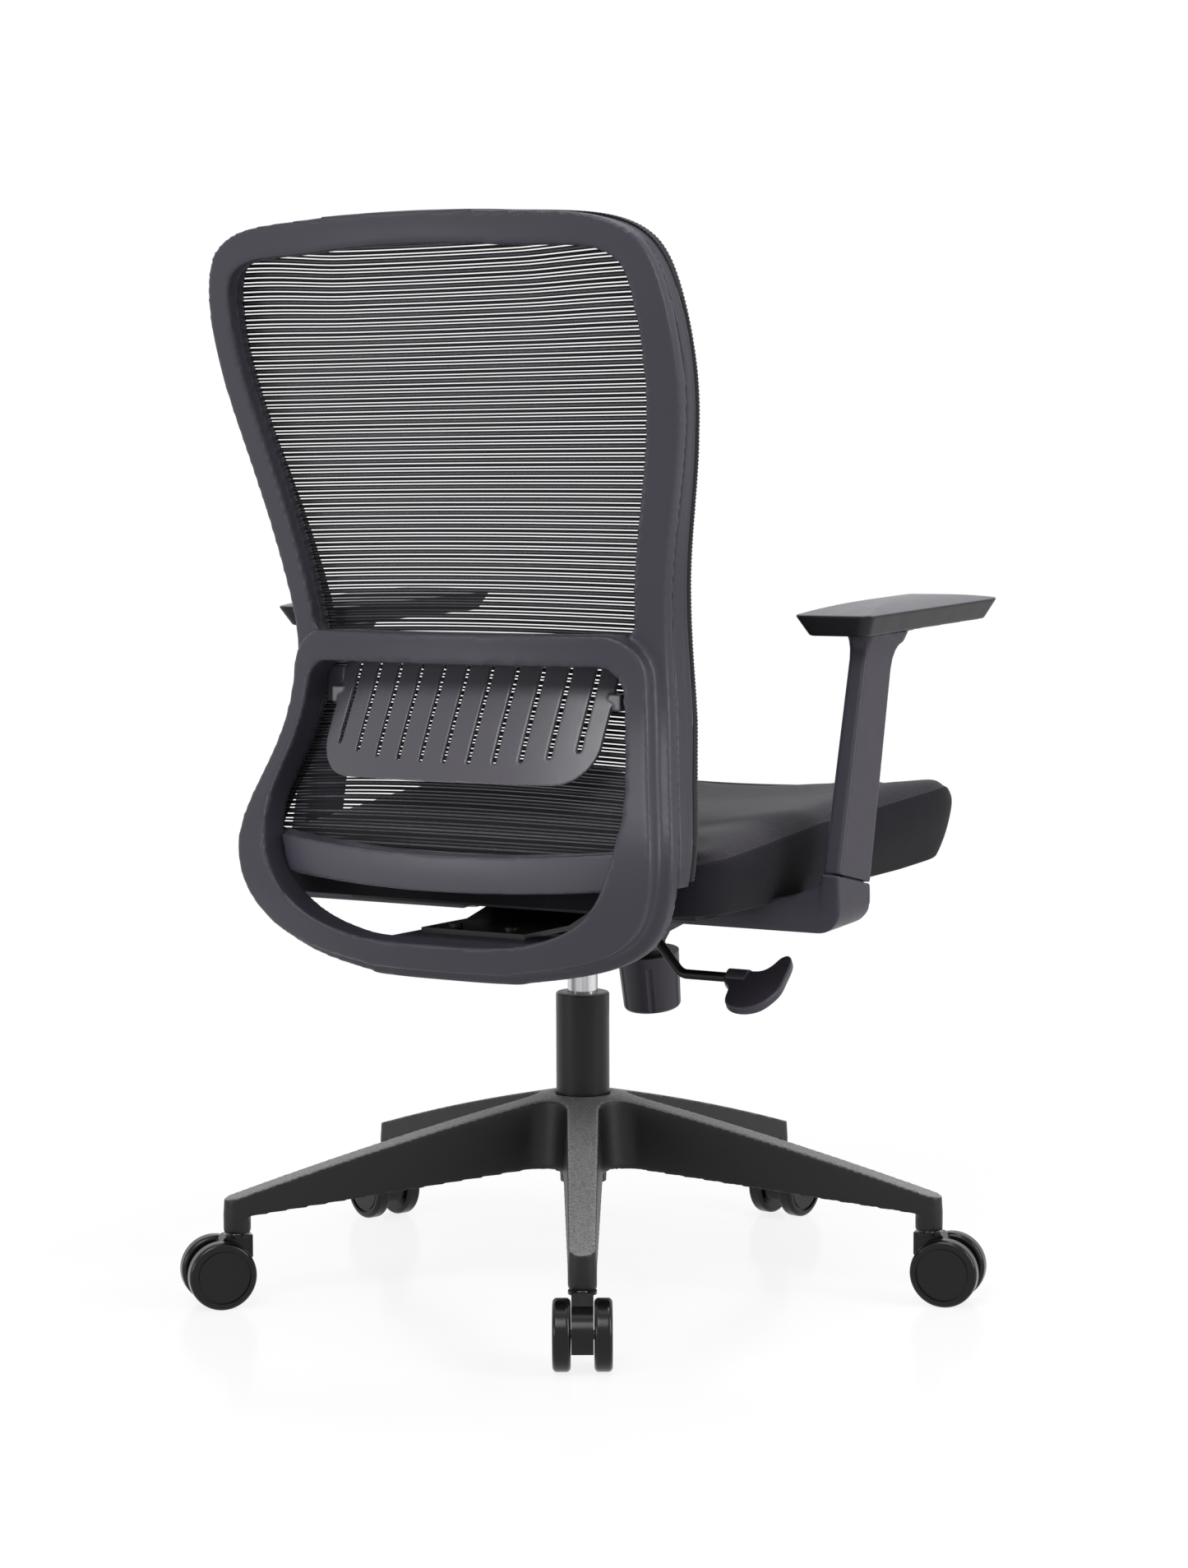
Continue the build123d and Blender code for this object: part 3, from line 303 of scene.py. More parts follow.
@dataclass(frozen=True)
class GrainedPaintedHighlightTop(Finish):
    """Moulded plastic whose faces that point up are painted paler as a painted highlight, speckled by a
    grain, while its walls are smooth and dark.
    """

    # Colour of the faces that point up: a painted highlight, speckled by the grain.
    top: str = "#767677"
    speckle: float = 0.45
    upright: tuple[float, float] = (0.45, 0.85)

    def _colour(self, tree: Tree, place: Socket) -> Socket:
        """Painted highlight: a pale speckled grain on what faces up, the plain colour elsewhere."""
        plain = super()._colour(tree, place)
        facing = add_node(tree, "SeparateXYZ", {0: add_node(tree, "TexCoord", out="Normal")}, "Z")
        least, full = self.upright
        # Mask of the faces that point up, which get the painted highlight.
        painted_highlight_mask = add_node(tree, "MapRange", {"Value": facing, "From Min": least, "From Max": full})
        grain = add_node(tree, "TexNoise", {"Vector": place, "Scale": per_metre(self.grain_mm)})
        pale = self._toned(tree, linear(self.top), grain, self.speckle, (0.3, 0.7))
        return add_node(tree, "Mix", {0: painted_highlight_mask, 6: plain, 7: pale}, 2, data_type="RGBA")


class Finishes:
    """Every finish on the chair."""

    # Glass filled nylon from a spark textured mould: a soft, wide highlight with a faint violet cast.
    FRAME = Finish("moulded_nylon_satin_grey", "#312f38", 0.42, grain_depth_mm=0.015, mottle=0.06,
                   specular=0.30)
    # The lumbar plate is polished a little more, and its colour is painted paler than the frame's, a
    # painted highlight.
    LUMBAR = Finish("moulded_nylon_semi_gloss_grey", "#413f46", 0.32, grain_depth_mm=0.008, mottle=0.05)
    RAIL = Finish("moulded_nylon_satin_pale_grey", "#3b3942", 0.40, mottle=0.05, specular=0.35)
    KNOB = Finish("moulded_nylon_charcoal", "#36333b", 0.42, mottle=0.08, specular=0.28)
    # The arm uprights and brackets: the same soft highlight from a finer texture.
    ARM = Finish("moulded_polypropylene_grey", "#2c2933", 0.42, mottle=0.06, specular=0.30)
    # Integral skin foam: a little glossier than the uprights, and its top is painted paler as a painted
    # highlight of the overhead light.
    PAD = GrainedPaintedHighlightTop("skinned_polyurethane_grey", "#1b1a1e", 0.34, grain_mm=1.0, grain_depth_mm=0.015,
                     mottle=0.08, specular=0.16, top="#5c5a60", speckle=0.12)
    # Nylon base: coarse pebble on its top faces, which are painted paler as a painted highlight, and
    # plain dark walls.
    BASE = GrainedPaintedHighlightTop("moulded_nylon_grained_black", "#121213", 0.44, grain_mm=1.6, grain_depth_mm=0.06,
                      specular=0.28)
    BLACK = Finish("moulded_nylon_black", "#121214", 0.40, mottle=0.10, specular=0.28)
    WHEEL = Finish("polished_nylon_black", "#0a0a0b", 0.22, grain_mm=2.0, grain_depth_mm=0.004,
                   mottle=0.10, specular=0.26)
    # Powder coat: flat sheen with a shallow orange peel.
    PAINT = Finish("powder_coat_black", "#0c0c0c", 0.36, grain_mm=1.8, grain_depth_mm=0.02, mottle=0.08,
                   specular=0.28)
    # Acetal guide ring in the tube's mouth: its flat top is painted pale next to the chrome, a painted
    # highlight.
    COLLAR = GrainedPaintedHighlightTop("moulded_acetal_black", "#0c0c0c", 0.36, grain_mm=1.8, grain_depth_mm=0.01,
                        mottle=0.08, specular=0.28, top="#a2a2a2", speckle=0.3)
    # Chrome: its pale and dark streaks are painted reflections.
    CHROME = SpunMetal("chromed_steel_tube", "#b9b9bc", 0.14, metallic=1.0, grain_depth_mm=0.004,
                       mottle=0.03, painted_reflection=0.55)
    ZINC = SpunMetal("zinc_plated_steel", "#9d9da0", 0.34, metallic=1.0, grain_depth_mm=0.008,
                     mottle=0.10)
    # Brushed polyester: broken soft speckle, and a pale fuzz where the surface turns away.
    SEAT = WovenCloth("brushed_polyester_charcoal", "#242129", 0.92, sheen=0.22, mottle=0.16,
                      patch_mm=35.0, specular=0.1)
    BORDER = WovenCloth("plain_polyester_black", "#151319", 0.88, sheen=0.08, mottle=0.08, thread_mm=1.2,
                        weave_depth_mm=0.12, painted_weave_shading=0.2, specular=0.1)
    THREAD = WovenCloth("monofilament_thread_grey", "#4a494f", 0.7, sheen=0.2, thread_mm=0.9,
                        weave_depth_mm=0.08, specular=0.2)
    SELVAGE = WovenCloth("knitted_selvage_black", "#161518", 0.85, sheen=0.15, thread_mm=0.9,
                         weave_depth_mm=0.12, specular=0.15)
    YARN = WovenCloth("monofilament_yarn_black", "#17161a", 0.75, sheen=0.12, thread_mm=0.9,
                      weave_depth_mm=0.08, painted_weave_shading=0.15, specular=0.15)


@dataclass(frozen=True)
class SoftBox:
    """A rectangular lamp: its place and what it faces in metres, its width and height, and its watts."""

    name: str
    place: Point
    aim: Point
    size: tuple[float, float]
    power: float

    def hang(self) -> None:
        """Add the lamp and turn it to what it faces."""
        data = bpy.data.lights.new(self.name, "AREA")
        data.shape = "RECTANGLE"
        data.size, data.size_y = self.size
        data.energy = self.power
        lamp = add_object(self.name, data)
        lamp.location = self.place
        lamp.rotation_euler = (Vector(self.aim) - Vector(self.place)).to_track_quat("-Z", "Y").to_euler()


class Studio:
    """Camera at the photographer's place, soft boxes, and a pale floor."""

    IMAGE = (1445, 1907)
    FOCAL_PX = 4183.0
    SENSOR_MM = 36.0
    PLACE = (-1.6802, 2.7199, 0.737)
    TURN = math.radians(31.5)
    DIP = math.radians(4.831)
    ROLL = math.radians(0.22)
    SKY_LIGHT = 0.40
    FLOOR_SIZE = 14.0
    FADE_FROM, FADE_TO = 0.35, 1.15
    FADE_LEAST = 0.84
    BOXES = (
        SoftBox("top_box", (0.1, -0.3, 3.0), (0, 0, 0.5), (2.4, 2.2), 24),
        SoftBox("spot_box", (-0.45, -0.5, 3.0), (0, 0, 0.6), (0.35, 0.35), 11),
        SoftBox("right_box", (-3.0, -0.3, 1.5), (0, 0, 0.6), (1.2, 2.2), 56),
        SoftBox("low_box", (1.15, 2.2, 0.6), (0, 0.2, 0.55), (0.9, 0.7), 11),
        SoftBox("rear_box", (-0.6, 2.8, 3.2), (0, 0.1, 0.5), (2.2, 1.6), 82),
    )

    def camera(self) -> None:
        """Set the camera where the photograph was taken from."""
        data = bpy.data.cameras.new("camera")
        data.sensor_width = self.SENSOR_MM
        data.lens = self.FOCAL_PX / max(self.IMAGE) * self.SENSOR_MM
        made = add_object("camera", data)
        upright = Matrix.Rotation(math.pi / 2 - self.DIP, 4, "X") @ Matrix.Rotation(-self.ROLL, 4, "Z")
        turned = Matrix.Rotation(math.pi + self.TURN, 4, "Z") @ upright
        made.matrix_world = Matrix.Translation(self.PLACE) @ turned
        bpy.context.scene.camera = made

    def world(self) -> None:
        """White where the camera, a mirror or glass looks past the chair, and grey light otherwise."""
        world = bpy.data.worlds.new("studio")
        bpy.context.scene.world = world
        tree = empty_tree(world)
        level = add_node(tree, "MapRange", {"Value": self.seen(tree), "To Min": self.SKY_LIGHT})
        sky = add_node(tree, "Background", {"Color": (1, 1, 1, 1), "Strength": level})
        add_node(tree, "OutputWorld", {"Surface": sky})

    def seen(self, tree: Tree) -> Socket:
        """One where the camera looks, also by way of a mirror or glass, and zero for plain light."""
        path = add_node(tree, "LightPath").node.outputs
        mirrored = add_node(tree, "Math", {0: path["Is Glossy Ray"], 1: path["Is Transmission Ray"]},
                            operation="MAXIMUM")
        return add_node(tree, "Math", {0: path["Is Camera Ray"], 1: mirrored}, operation="MAXIMUM")

    def floor(self) -> None:
        """Lay a pale floor that keeps the chair's soft shadow and fades into the white background."""
        bpy.ops.mesh.primitive_plane_add(size=self.FLOOR_SIZE)
        ground = bpy.context.object
        ground.name = "floor"
        material = bpy.data.materials.new("studio_floor_white")
        tree = empty_tree(material)
        place = add_node(tree, "TexCoord", out="Object")
        away = add_node(tree, "VectorMath", {0: place}, "Value", operation="LENGTH")
        fade = add_node(tree, "MapRange", {
            "Value": away, "From Min": self.FADE_FROM, "From Max": self.FADE_TO,
            "To Min": self.FADE_LEAST}, interpolation_type="SMOOTHSTEP")
        share = add_node(tree, "Math", {0: self.seen(tree), 1: fade}, operation="MULTIPLY")
        sheet = add_node(tree, "BsdfPrincipled", {"Base Color": linear("#fafafa"), "Roughness": 0.16})
        glow = add_node(tree, "Emission")
        mix = add_node(tree, "MixShader", {0: share, 1: sheet, 2: glow})
        add_node(tree, "OutputMaterial", {"Surface": mix})
        ground.data.materials.append(material)

    def build(self) -> None:
        """Set up the whole studio."""
        self.camera()
        self.world()
        self.floor()
        for box in self.BOXES:
            box.hang()
        bpy.context.scene.view_settings.view_transform = "Standard"


def deselect() -> None:
    """Leave edit mode and deselect everything."""
    if bpy.context.object and bpy.context.object.mode != "OBJECT":
        bpy.ops.object.mode_set(mode="OBJECT")
    bpy.ops.object.select_all(action="DESELECT")


def activate(piece: Thing) -> None:
    """Select one object alone and make it the active one."""
    deselect()
    piece.select_set(True)
    bpy.context.view_layer.objects.active = piece


def apply_modifier(piece: Thing, kind: str, **settings: Any) -> None:
    """Add a modifier with its settings and apply it.

    Args:
        piece: the object that is shaped.
        kind: the modifier's type.
        settings: the modifier's own properties.
    """
    activate(piece)
    modifier = piece.modifiers.new(kind.lower(), kind)
    for name, value in settings.items():
        setattr(modifier, name, value)
    bpy.ops.object.modifier_apply(modifier=modifier.name)


def clean(piece: Thing, weld: float = 0.0, outwards: bool = True) -> None:
    """Merge a piece's points that lie together and turn its faces outwards.

    Args:
        piece: the object that is cleaned.
        weld: how near two points are that merge, or zero for none.
        outwards: whether the faces are turned.
    """
    activate(piece)
    bpy.ops.object.mode_set(mode="EDIT")
    bpy.ops.mesh.select_all(action="SELECT")
    if weld:
        bpy.ops.mesh.remove_doubles(threshold=weld)
    if outwards:
        bpy.ops.mesh.normals_make_consistent(inside=False)
    bpy.ops.object.mode_set(mode="OBJECT")


def paint(piece: Thing, finish: Finish) -> None:
    """Give a piece one finish all over."""
    piece.data.materials.clear()
    piece.data.materials.append(finish.make())


def smooth(piece: Thing, degrees: float) -> None:
    """Shade a piece smooth, with its real corners kept."""
    activate(piece)
    bpy.ops.object.shade_smooth_by_angle(angle=math.radians(degrees))


@dataclass
class BackCorners:
    """Upper corners of the back, which are fuller than the arcs of the solids below."""

    across: float = 185 * MM
    reach: float = 95 * MM
    start: float = 860 * MM
    full: float = 945 * MM
    lift: float = 3.5 * MM
    spread: float = 1.5 * MM

    def square(self, piece: Thing) -> None:
        """Move a piece's points up and out near both corners."""
        for vertex in piece.data.vertices:
            x, z = vertex.co.x, vertex.co.z
            near = max(0.0, 1 - ((abs(x) - self.across) / self.reach) ** 2)
            share = near * near * min(1.0, max(0.0, (z - self.start) / (self.full - self.start)))
            vertex.co.z += self.lift * share
            vertex.co.x += math.copysign(self.spread * share, x)


@dataclass
class Gusset:
    """Fillet that fills the inside of an arm bracket's elbow up to the seat's border.

    The slope is a run inwards and a rise from the corner, in millimetres.
    """

    corner: tuple[float, float] = (284 * MM, 363 * MM)
    slope: Spots = ((0, 36), (12, 28), (34, 18), (84, 11), (110, 0))
    rear: float = 56 * MM
    front: float = -5 * MM

    def build(self, side: Side) -> Thing:
        """Make the three cornered block on one side.

        Args:
            side: which arm it belongs to.

        Returns:
            The block, to be joined to the bracket before that is recast.
        """
        x, z = self.corner
        plan = [(x, z)] + [(x - run * MM, z + rise * MM) for run, rise in self.slope]
        points = [Vector((side.value * a, y, b)) for y in (self.front, self.rear) for a, b in plan]
        n = len(plan)
        faces = [list(range(n)), list(range(n, 2 * n))]
        faces += [[k, (k + 1) % n, n + (k + 1) % n, n + k] for k in range(n)]
        block = mesh_piece("gusset", points, faces)
        clean(block)
        return block


@dataclass
class Moulding:
    """A CAD solid cast again with the rounded edges that a mould gives it.

    The recast has a cell in millimetres, passes that soften its edges and a limit of triangles. It can
    have squarer corners, a block that fills it out, or a node that presses up into it.
    """

    node: str
    body: str
    finish: Finish
    slot: str
    cell_mm: float = 2.0
    passes: int = 5
    faces: int = 180_000
    corners: BackCorners | None = None
    filled: Thing | None = None
    presser: str = ""
    room: float = 0.8 * MM
    travel: float = 3.4 * MM

    def hollow(self, piece: Thing, presser: Thing) -> None:
        """Cut the room that a node needs to press up into the piece.

        Args:
            piece: the recast piece.
            presser: the node that moves in it.
        """
        box = np.array([presser.matrix_world @ Vector(c) for c in presser.bound_box])
        low, high = box.min(0) - self.room, box.max(0) + self.room
        high[2] += self.travel
        deselect()
        bpy.ops.mesh.primitive_cube_add(size=1.0, location=(low + high) / 2, scale=high - low)
        block = bpy.context.object
        apply_modifier(piece, "BOOLEAN", operation="DIFFERENCE", solver="EXACT", object=block)
        bpy.data.objects.remove(block)

    def build(self, frame: Frame) -> Thing:
        """Copy the node's mesh, recast it in even cells and soften its edges.


        Returns:
            The new piece, which stands for the node.
        """
        piece = add_object(self.node + "_moulded", frame["nodes"][self.node].data.copy())
        clean(piece, weld=0.01 * MM, outwards=False)
        if self.filled:
            activate(piece)
            self.filled.select_set(True)
            bpy.ops.object.join()
        apply_modifier(piece, "REMESH", mode="VOXEL", voxel_size=self.cell_mm * MM)
        apply_modifier(piece, "SMOOTH", factor=0.5, iterations=self.passes)
        triangles = 2 * len(piece.data.polygons)
        if triangles > self.faces:
            apply_modifier(piece, "DECIMATE", ratio=self.faces / triangles)
        if self.corners:
            self.corners.square(piece)
        activate(piece)
        bpy.ops.object.shade_smooth()
        if self.presser:
            self.hollow(piece, frame["nodes"][self.presser])
        paint(piece, self.finish)
        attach(piece, self.body)
        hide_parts(self.node)
        return piece


@dataclass
class Probe:
    """Finds the surface of a CAD node, so that a soft piece lies where its solid lies."""

    node: Thing
    tree: BVHTree = field(init=False)

    def __post_init__(self) -> None:
        """Take the node's triangles as they stand in the row frame."""
        mesh = self.node.data
        place = self.node.matrix_world
        points = [place @ v.co for v in mesh.vertices]
        self.tree = BVHTree.FromPolygons(points, [tuple(p.vertices) for p in mesh.polygons])

    def hit(self, start: Vector, way: Vector) -> Vector | None:
        """The first point of the surface on a ray, if there is one."""
        return self.tree.ray_cast(start, way)[0]


def mesh_piece(name: str, points: Sequence[Vector], faces: Sequence[Sequence[int]]) -> Thing:
    """Make an object from points and faces that follow a surface.

    Args:
        name: the piece's name.
        points: its vertices in the row frame, in metres.
        faces: vertex numbers of each face, turned outwards.

    Returns:
        The new object, at the origin.
    """
    mesh = bpy.data.meshes.new(name)
    mesh.from_pydata([tuple(p) for p in points], [], [tuple(f) for f in faces])
    mesh.update()
    return add_object(name, mesh)


def height_at(spots: Spots, at: float) -> float:
    """Read a line through points that are given in millimetres.

    Args:
        spots: pairs of place and height, in order of place.
        at: the place, in metres.

    Returns:
        The height there in metres, level beyond both ends.
    """
    places, heights = zip(*spots)
    return float(np.interp(at / MM, places, heights)) * MM


@dataclass
class SeatCushion:
    """Foam seat under a stretched top panel, with a plain border sewn to it along one seam.

    Heights and depths are in the seat's own plane, which leans back a little.
    """

    plane: Matrix = field(default_factory=lambda: Matrix.Translation((0, 0, 364 * MM + GROUND))
                          @ Matrix.Rotation(math.radians(-3.55), 4, "X"))
    centre_y: float = -60 * MM
    seam: float = 71.5 * MM
    pan_inset: float = 37.5 * MM
    pan_room: float = 10.4 * MM
    around: int = 176
    squareness: int = 4
    pocket_rows: Shares = (0.15, 0.4, 0.7)
    border_rows: Shares = (0.006, 0.022, 0.07, 0.15, 0.27, 0.39, 0.52, 0.64, 0.77, 0.87, 0.94, 0.975)
    drawn_rows: Shares = (0.2, 0.5, 0.8, 0.95)
    # Each row of the top: its share of the way out to the seam, and its share of the crown.
    top_rows: Spots = ((0.991, 0.55), (0.975, 1.1), (0.945, 1.25), (0.90, 1.05), (0.84, 0.75),
                       (0.77, 0.45), (0.69, 0.2), (0.6, 0.0), (0.5, 0.0), (0.4, 0.0), (0.3, 0.0),
                       (0.2, 0.0), (0.1, 0.0), (0.03, 0.0))
    underside: Spots = ((-318, 0.0), (-200, 0.0), (110, 10.0), (186, 15.0))
    seam_wave: Spots = ((-318, -2.0), (-254, -2.5), (-137, -3.5), (-30, -2.5), (14, -4.5), (60, -6.5),
                        (107, -8.5), (150, -9.5), (190, -8.0))
    wave_from: float = 0.8
    nose: float = 13.0 * MM
    nose_start: float = -200 * MM
    nose_run: float = 100 * MM
    nose_low: float = 0.7
    crown: float = 5.0 * MM
    dip: float = 10.0 * MM
    dip_start: float = -50 * MM
    dip_run: float = 200 * MM
    dip_half: float = 200 * MM
    groove: float = 2.4 * MM
    push: float = 7.0 * MM
    pressure: float = 4.0
    stiffness: float = 40.0
    frames: int = 20
    outside: float = 600 * MM
    above: float = 300 * MM
    fallback: float = 350 * MM
    waist: float = 0.6

    def wave(self, y: float) -> float:
        """How far the seam runs above its mean height at one depth of the seat."""
        return height_at(self.seam_wave, y)

    def hem(self, y: float) -> float:
        """Height of the cushion's underside at one depth of the seat."""
        return height_at(self.underside, y)

    def fall(self, place: Vector) -> float:
        """Depth of the shallow dip for the thighs at one place of the top."""
        ahead = min(1.0, max(0.0, (self.dip_start - place.y) / self.dip_run))
        return self.dip * max(0.0, 1 - (place.x / self.dip_half) ** 2) * ahead * ahead * (3 - 2 * ahead)

    def edge(self, probe: Probe, way: Vector, height: float) -> Vector:
        """Outermost point of the solid at one height, or a place near the rim where there is none."""
        start = Vector((0, self.centre_y, height)) + way * self.outside
        found = probe.hit(self.plane @ start, self.plane.to_3x3() @ -way.normalized())
        return self.plane.inverted() @ found if found else start - way * self.fallback

    def top(self, probe: Probe, place: Vector) -> float:
        """Height of the top above one place: the solid's own, less the dip."""
        start = Vector((place.x, place.y, self.above))
        found = probe.hit(self.plane @ start, self.plane.to_3x3() @ Vector((0, 0, -1)))
        return ((self.plane.inverted() @ found).z if found else self.seam) - self.fall(place)

    def ways(self) -> list[Vector]:
        """Directions from the seat's middle, spaced so that the corners get their share of points."""
        made = []
        for k in range(self.around):
            angle = 2 * math.pi * k / self.around
            right, back = math.cos(angle), math.sin(angle)
            power = abs(right) ** self.squareness + abs(back) ** self.squareness
            made.append(Vector((right, back, 0)) / power ** (1 / self.squareness))
        return made

    def border(self, probe: Probe, ways: Sequence[Vector]) -> list[list[Vector]]:
        """Rings of the border from the hem up, with the nose at the front and the seam's wave on top.

        Args:
            probe: finds the surface of the CAD cushion.
            ways: directions from the seat's middle.

        Returns:
            One ring for each border row.
        """
        made = []
        hems = [self.hem(self.edge(probe, way, self.seam * self.waist).y) for way in ways]
        for share in self.border_rows:
            row = [self.edge(probe, way, hem + share * (self.seam - hem))
                   for way, hem in zip(ways, hems)]
            for p in row:
                ahead = min(1.0, max(0.0, (self.nose_start - p.y) / self.nose_run))
                p.y -= self.nose * math.sin(math.pi * share ** self.nose_low) * ahead
            made.append(row)
        for row, share in zip(made[-len(self.drawn_rows):], self.drawn_rows):
            for p in row:
                p.z += (self.wave(p.y) - self.fall(p)) * share
        return made

    def pocket(self, hem: Sequence[Vector]) -> list[list[Vector]]:
        """Rings of the underside from its middle out, which leave room for the seat pan.

        Args:
            hem: the border's lowest ring.

        Returns:
            Rings of the pocket's ceiling and the top of its wall, then the wall's foot.
        """
        middle = Vector((0, self.centre_y, 0))
        flat = [Vector((p.x, p.y, 0)) for p in hem]
        inner = [p + (middle - p).normalized() * self.pan_inset for p in flat]
        ceiling = [p + Vector((0, 0, max(self.pan_room, self.hem(p.y) + 0.5 * MM))) for p in inner]
        centre = Vector((0, self.centre_y, self.pan_room))
        made = [[centre.lerp(p, share) for p in ceiling] for share in self.pocket_rows]
        foot = [p + Vector((0, 0, self.hem(p.y) + 0.3 * MM)) for p in inner]
        return made + [ceiling, foot]

    def rings(self, probe: Probe) -> list[list[Vector]]:
        """Rings of points in the seat's own plane, from the pan's pocket up to the middle of the top.

        Args:
            probe: finds the surface of the CAD cushion.

        Returns:
            Rings of equal length.
        """
        ways = self.ways()
        middle = Vector((0, self.centre_y, 0))
        border = self.border(probe, ways)
        sewn = []
        for way in ways:
            p = self.edge(probe, way, self.seam)
            inwards = middle - p
            inwards.z = 0
            q = p + inwards.normalized() * self.groove
            q.z = self.seam + self.wave(p.y) - self.fall(p)
            sewn.append(q)
        made = self.pocket(border[0]) + border + [sewn]
        for share, lift in self.top_rows:
            row = []
            near = max(0.0, (share - self.wave_from) / (1 - self.wave_from))
            for p in sewn:
                q = middle.lerp(Vector((p.x, p.y, 0)), share)
                q.z = self.top(probe, q) + self.crown * lift + self.wave(p.y) * near
                row.append(q)
            made.append(row)
        return made

    def build(self, frame: Frame) -> Thing:
        """Lay the rings, swell them with a cloth run and dress them.


        Returns:
            The cushion.
        """
        rings = self.rings(Probe(frame["nodes"]["seat_cushion"]))
        n = self.around
        points = [self.plane @ p for ring in rings for p in ring]
        faces = [[(j + 1) * n + k, j * n + k, j * n + (k + 1) % n, (j + 1) * n + (k + 1) % n]
                 for j in range(len(rings) - 1) for k in range(n)]
        for first in (0, (len(rings) - 1) * n):
            faces += [[first + k, first + k + 1, first + n - k - 1, first + (n - k) % n]
                      for k in range(1, n // 2 - 1)]
            faces += [[first, first + 1, first + n - 1],
                      [first + n // 2 - 1, first + n // 2, first + n // 2 + 1]]
        piece = mesh_piece("seat_cushion_cover", points, faces)
        clean(piece)
        seam_row = len(self.pocket_rows) + 2 + len(self.border_rows)
        for polygon in piece.data.polygons:
            polygon.material_index = 0 if min(polygon.vertices) // n >= seam_row else 1
        self.swell(piece, seam_row)
        apply_modifier(piece, "SUBSURF", levels=1, render_levels=1)
        activate(piece)
        bpy.ops.object.shade_smooth()
        piece.data.materials.append(Finishes.SEAT.make())
        piece.data.materials.append(Finishes.BORDER.make())
        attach(piece, "tilt")
        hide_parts("seat_cushion")
        return piece

    def swell(self, piece: Thing, seam_row: int) -> None:
        """Blow the cover up from inside while its seam and its underside are held.

        Args:
            piece: the cover before its subdivision.
            seam_row: the ring that is sewn.
        """
        n = self.around
        held = piece.vertex_groups.new(name="sewn")
        rows = list(range(len(self.pocket_rows) + 4)) + [seam_row]
        held.add([r * n + k for r in rows for k in range(n)], 1.0, "REPLACE")
        before = [v.co.copy() for v in piece.data.vertices]
        cloth = piece.modifiers.new("cloth", "CLOTH")
        for name, value in {
                "vertex_group_mass": held.name, "use_pressure": True,
                "uniform_pressure_force": self.pressure, "tension_stiffness": self.stiffness,
                "compression_stiffness": self.stiffness, "shear_stiffness": self.stiffness / 2,
                "bending_stiffness": 2.0, "quality": 6}.items():
            setattr(cloth.settings, name, value)
        cloth.settings.effector_weights.gravity = 0.0
        cloth.point_cache.frame_start = 1
        cloth.point_cache.frame_end = self.frames
        scene = bpy.context.scene
        for step in range(1, self.frames + 1):
            scene.frame_set(step)
        activate(piece)
        bpy.ops.object.modifier_apply(modifier=cloth.name)
        scene.frame_set(1)
        for vertex, old in zip(piece.data.vertices, before):
            move = vertex.co - old
            if move.length > self.push:
                vertex.co = old + move.normalized() * self.push
        piece.vertex_groups.clear()


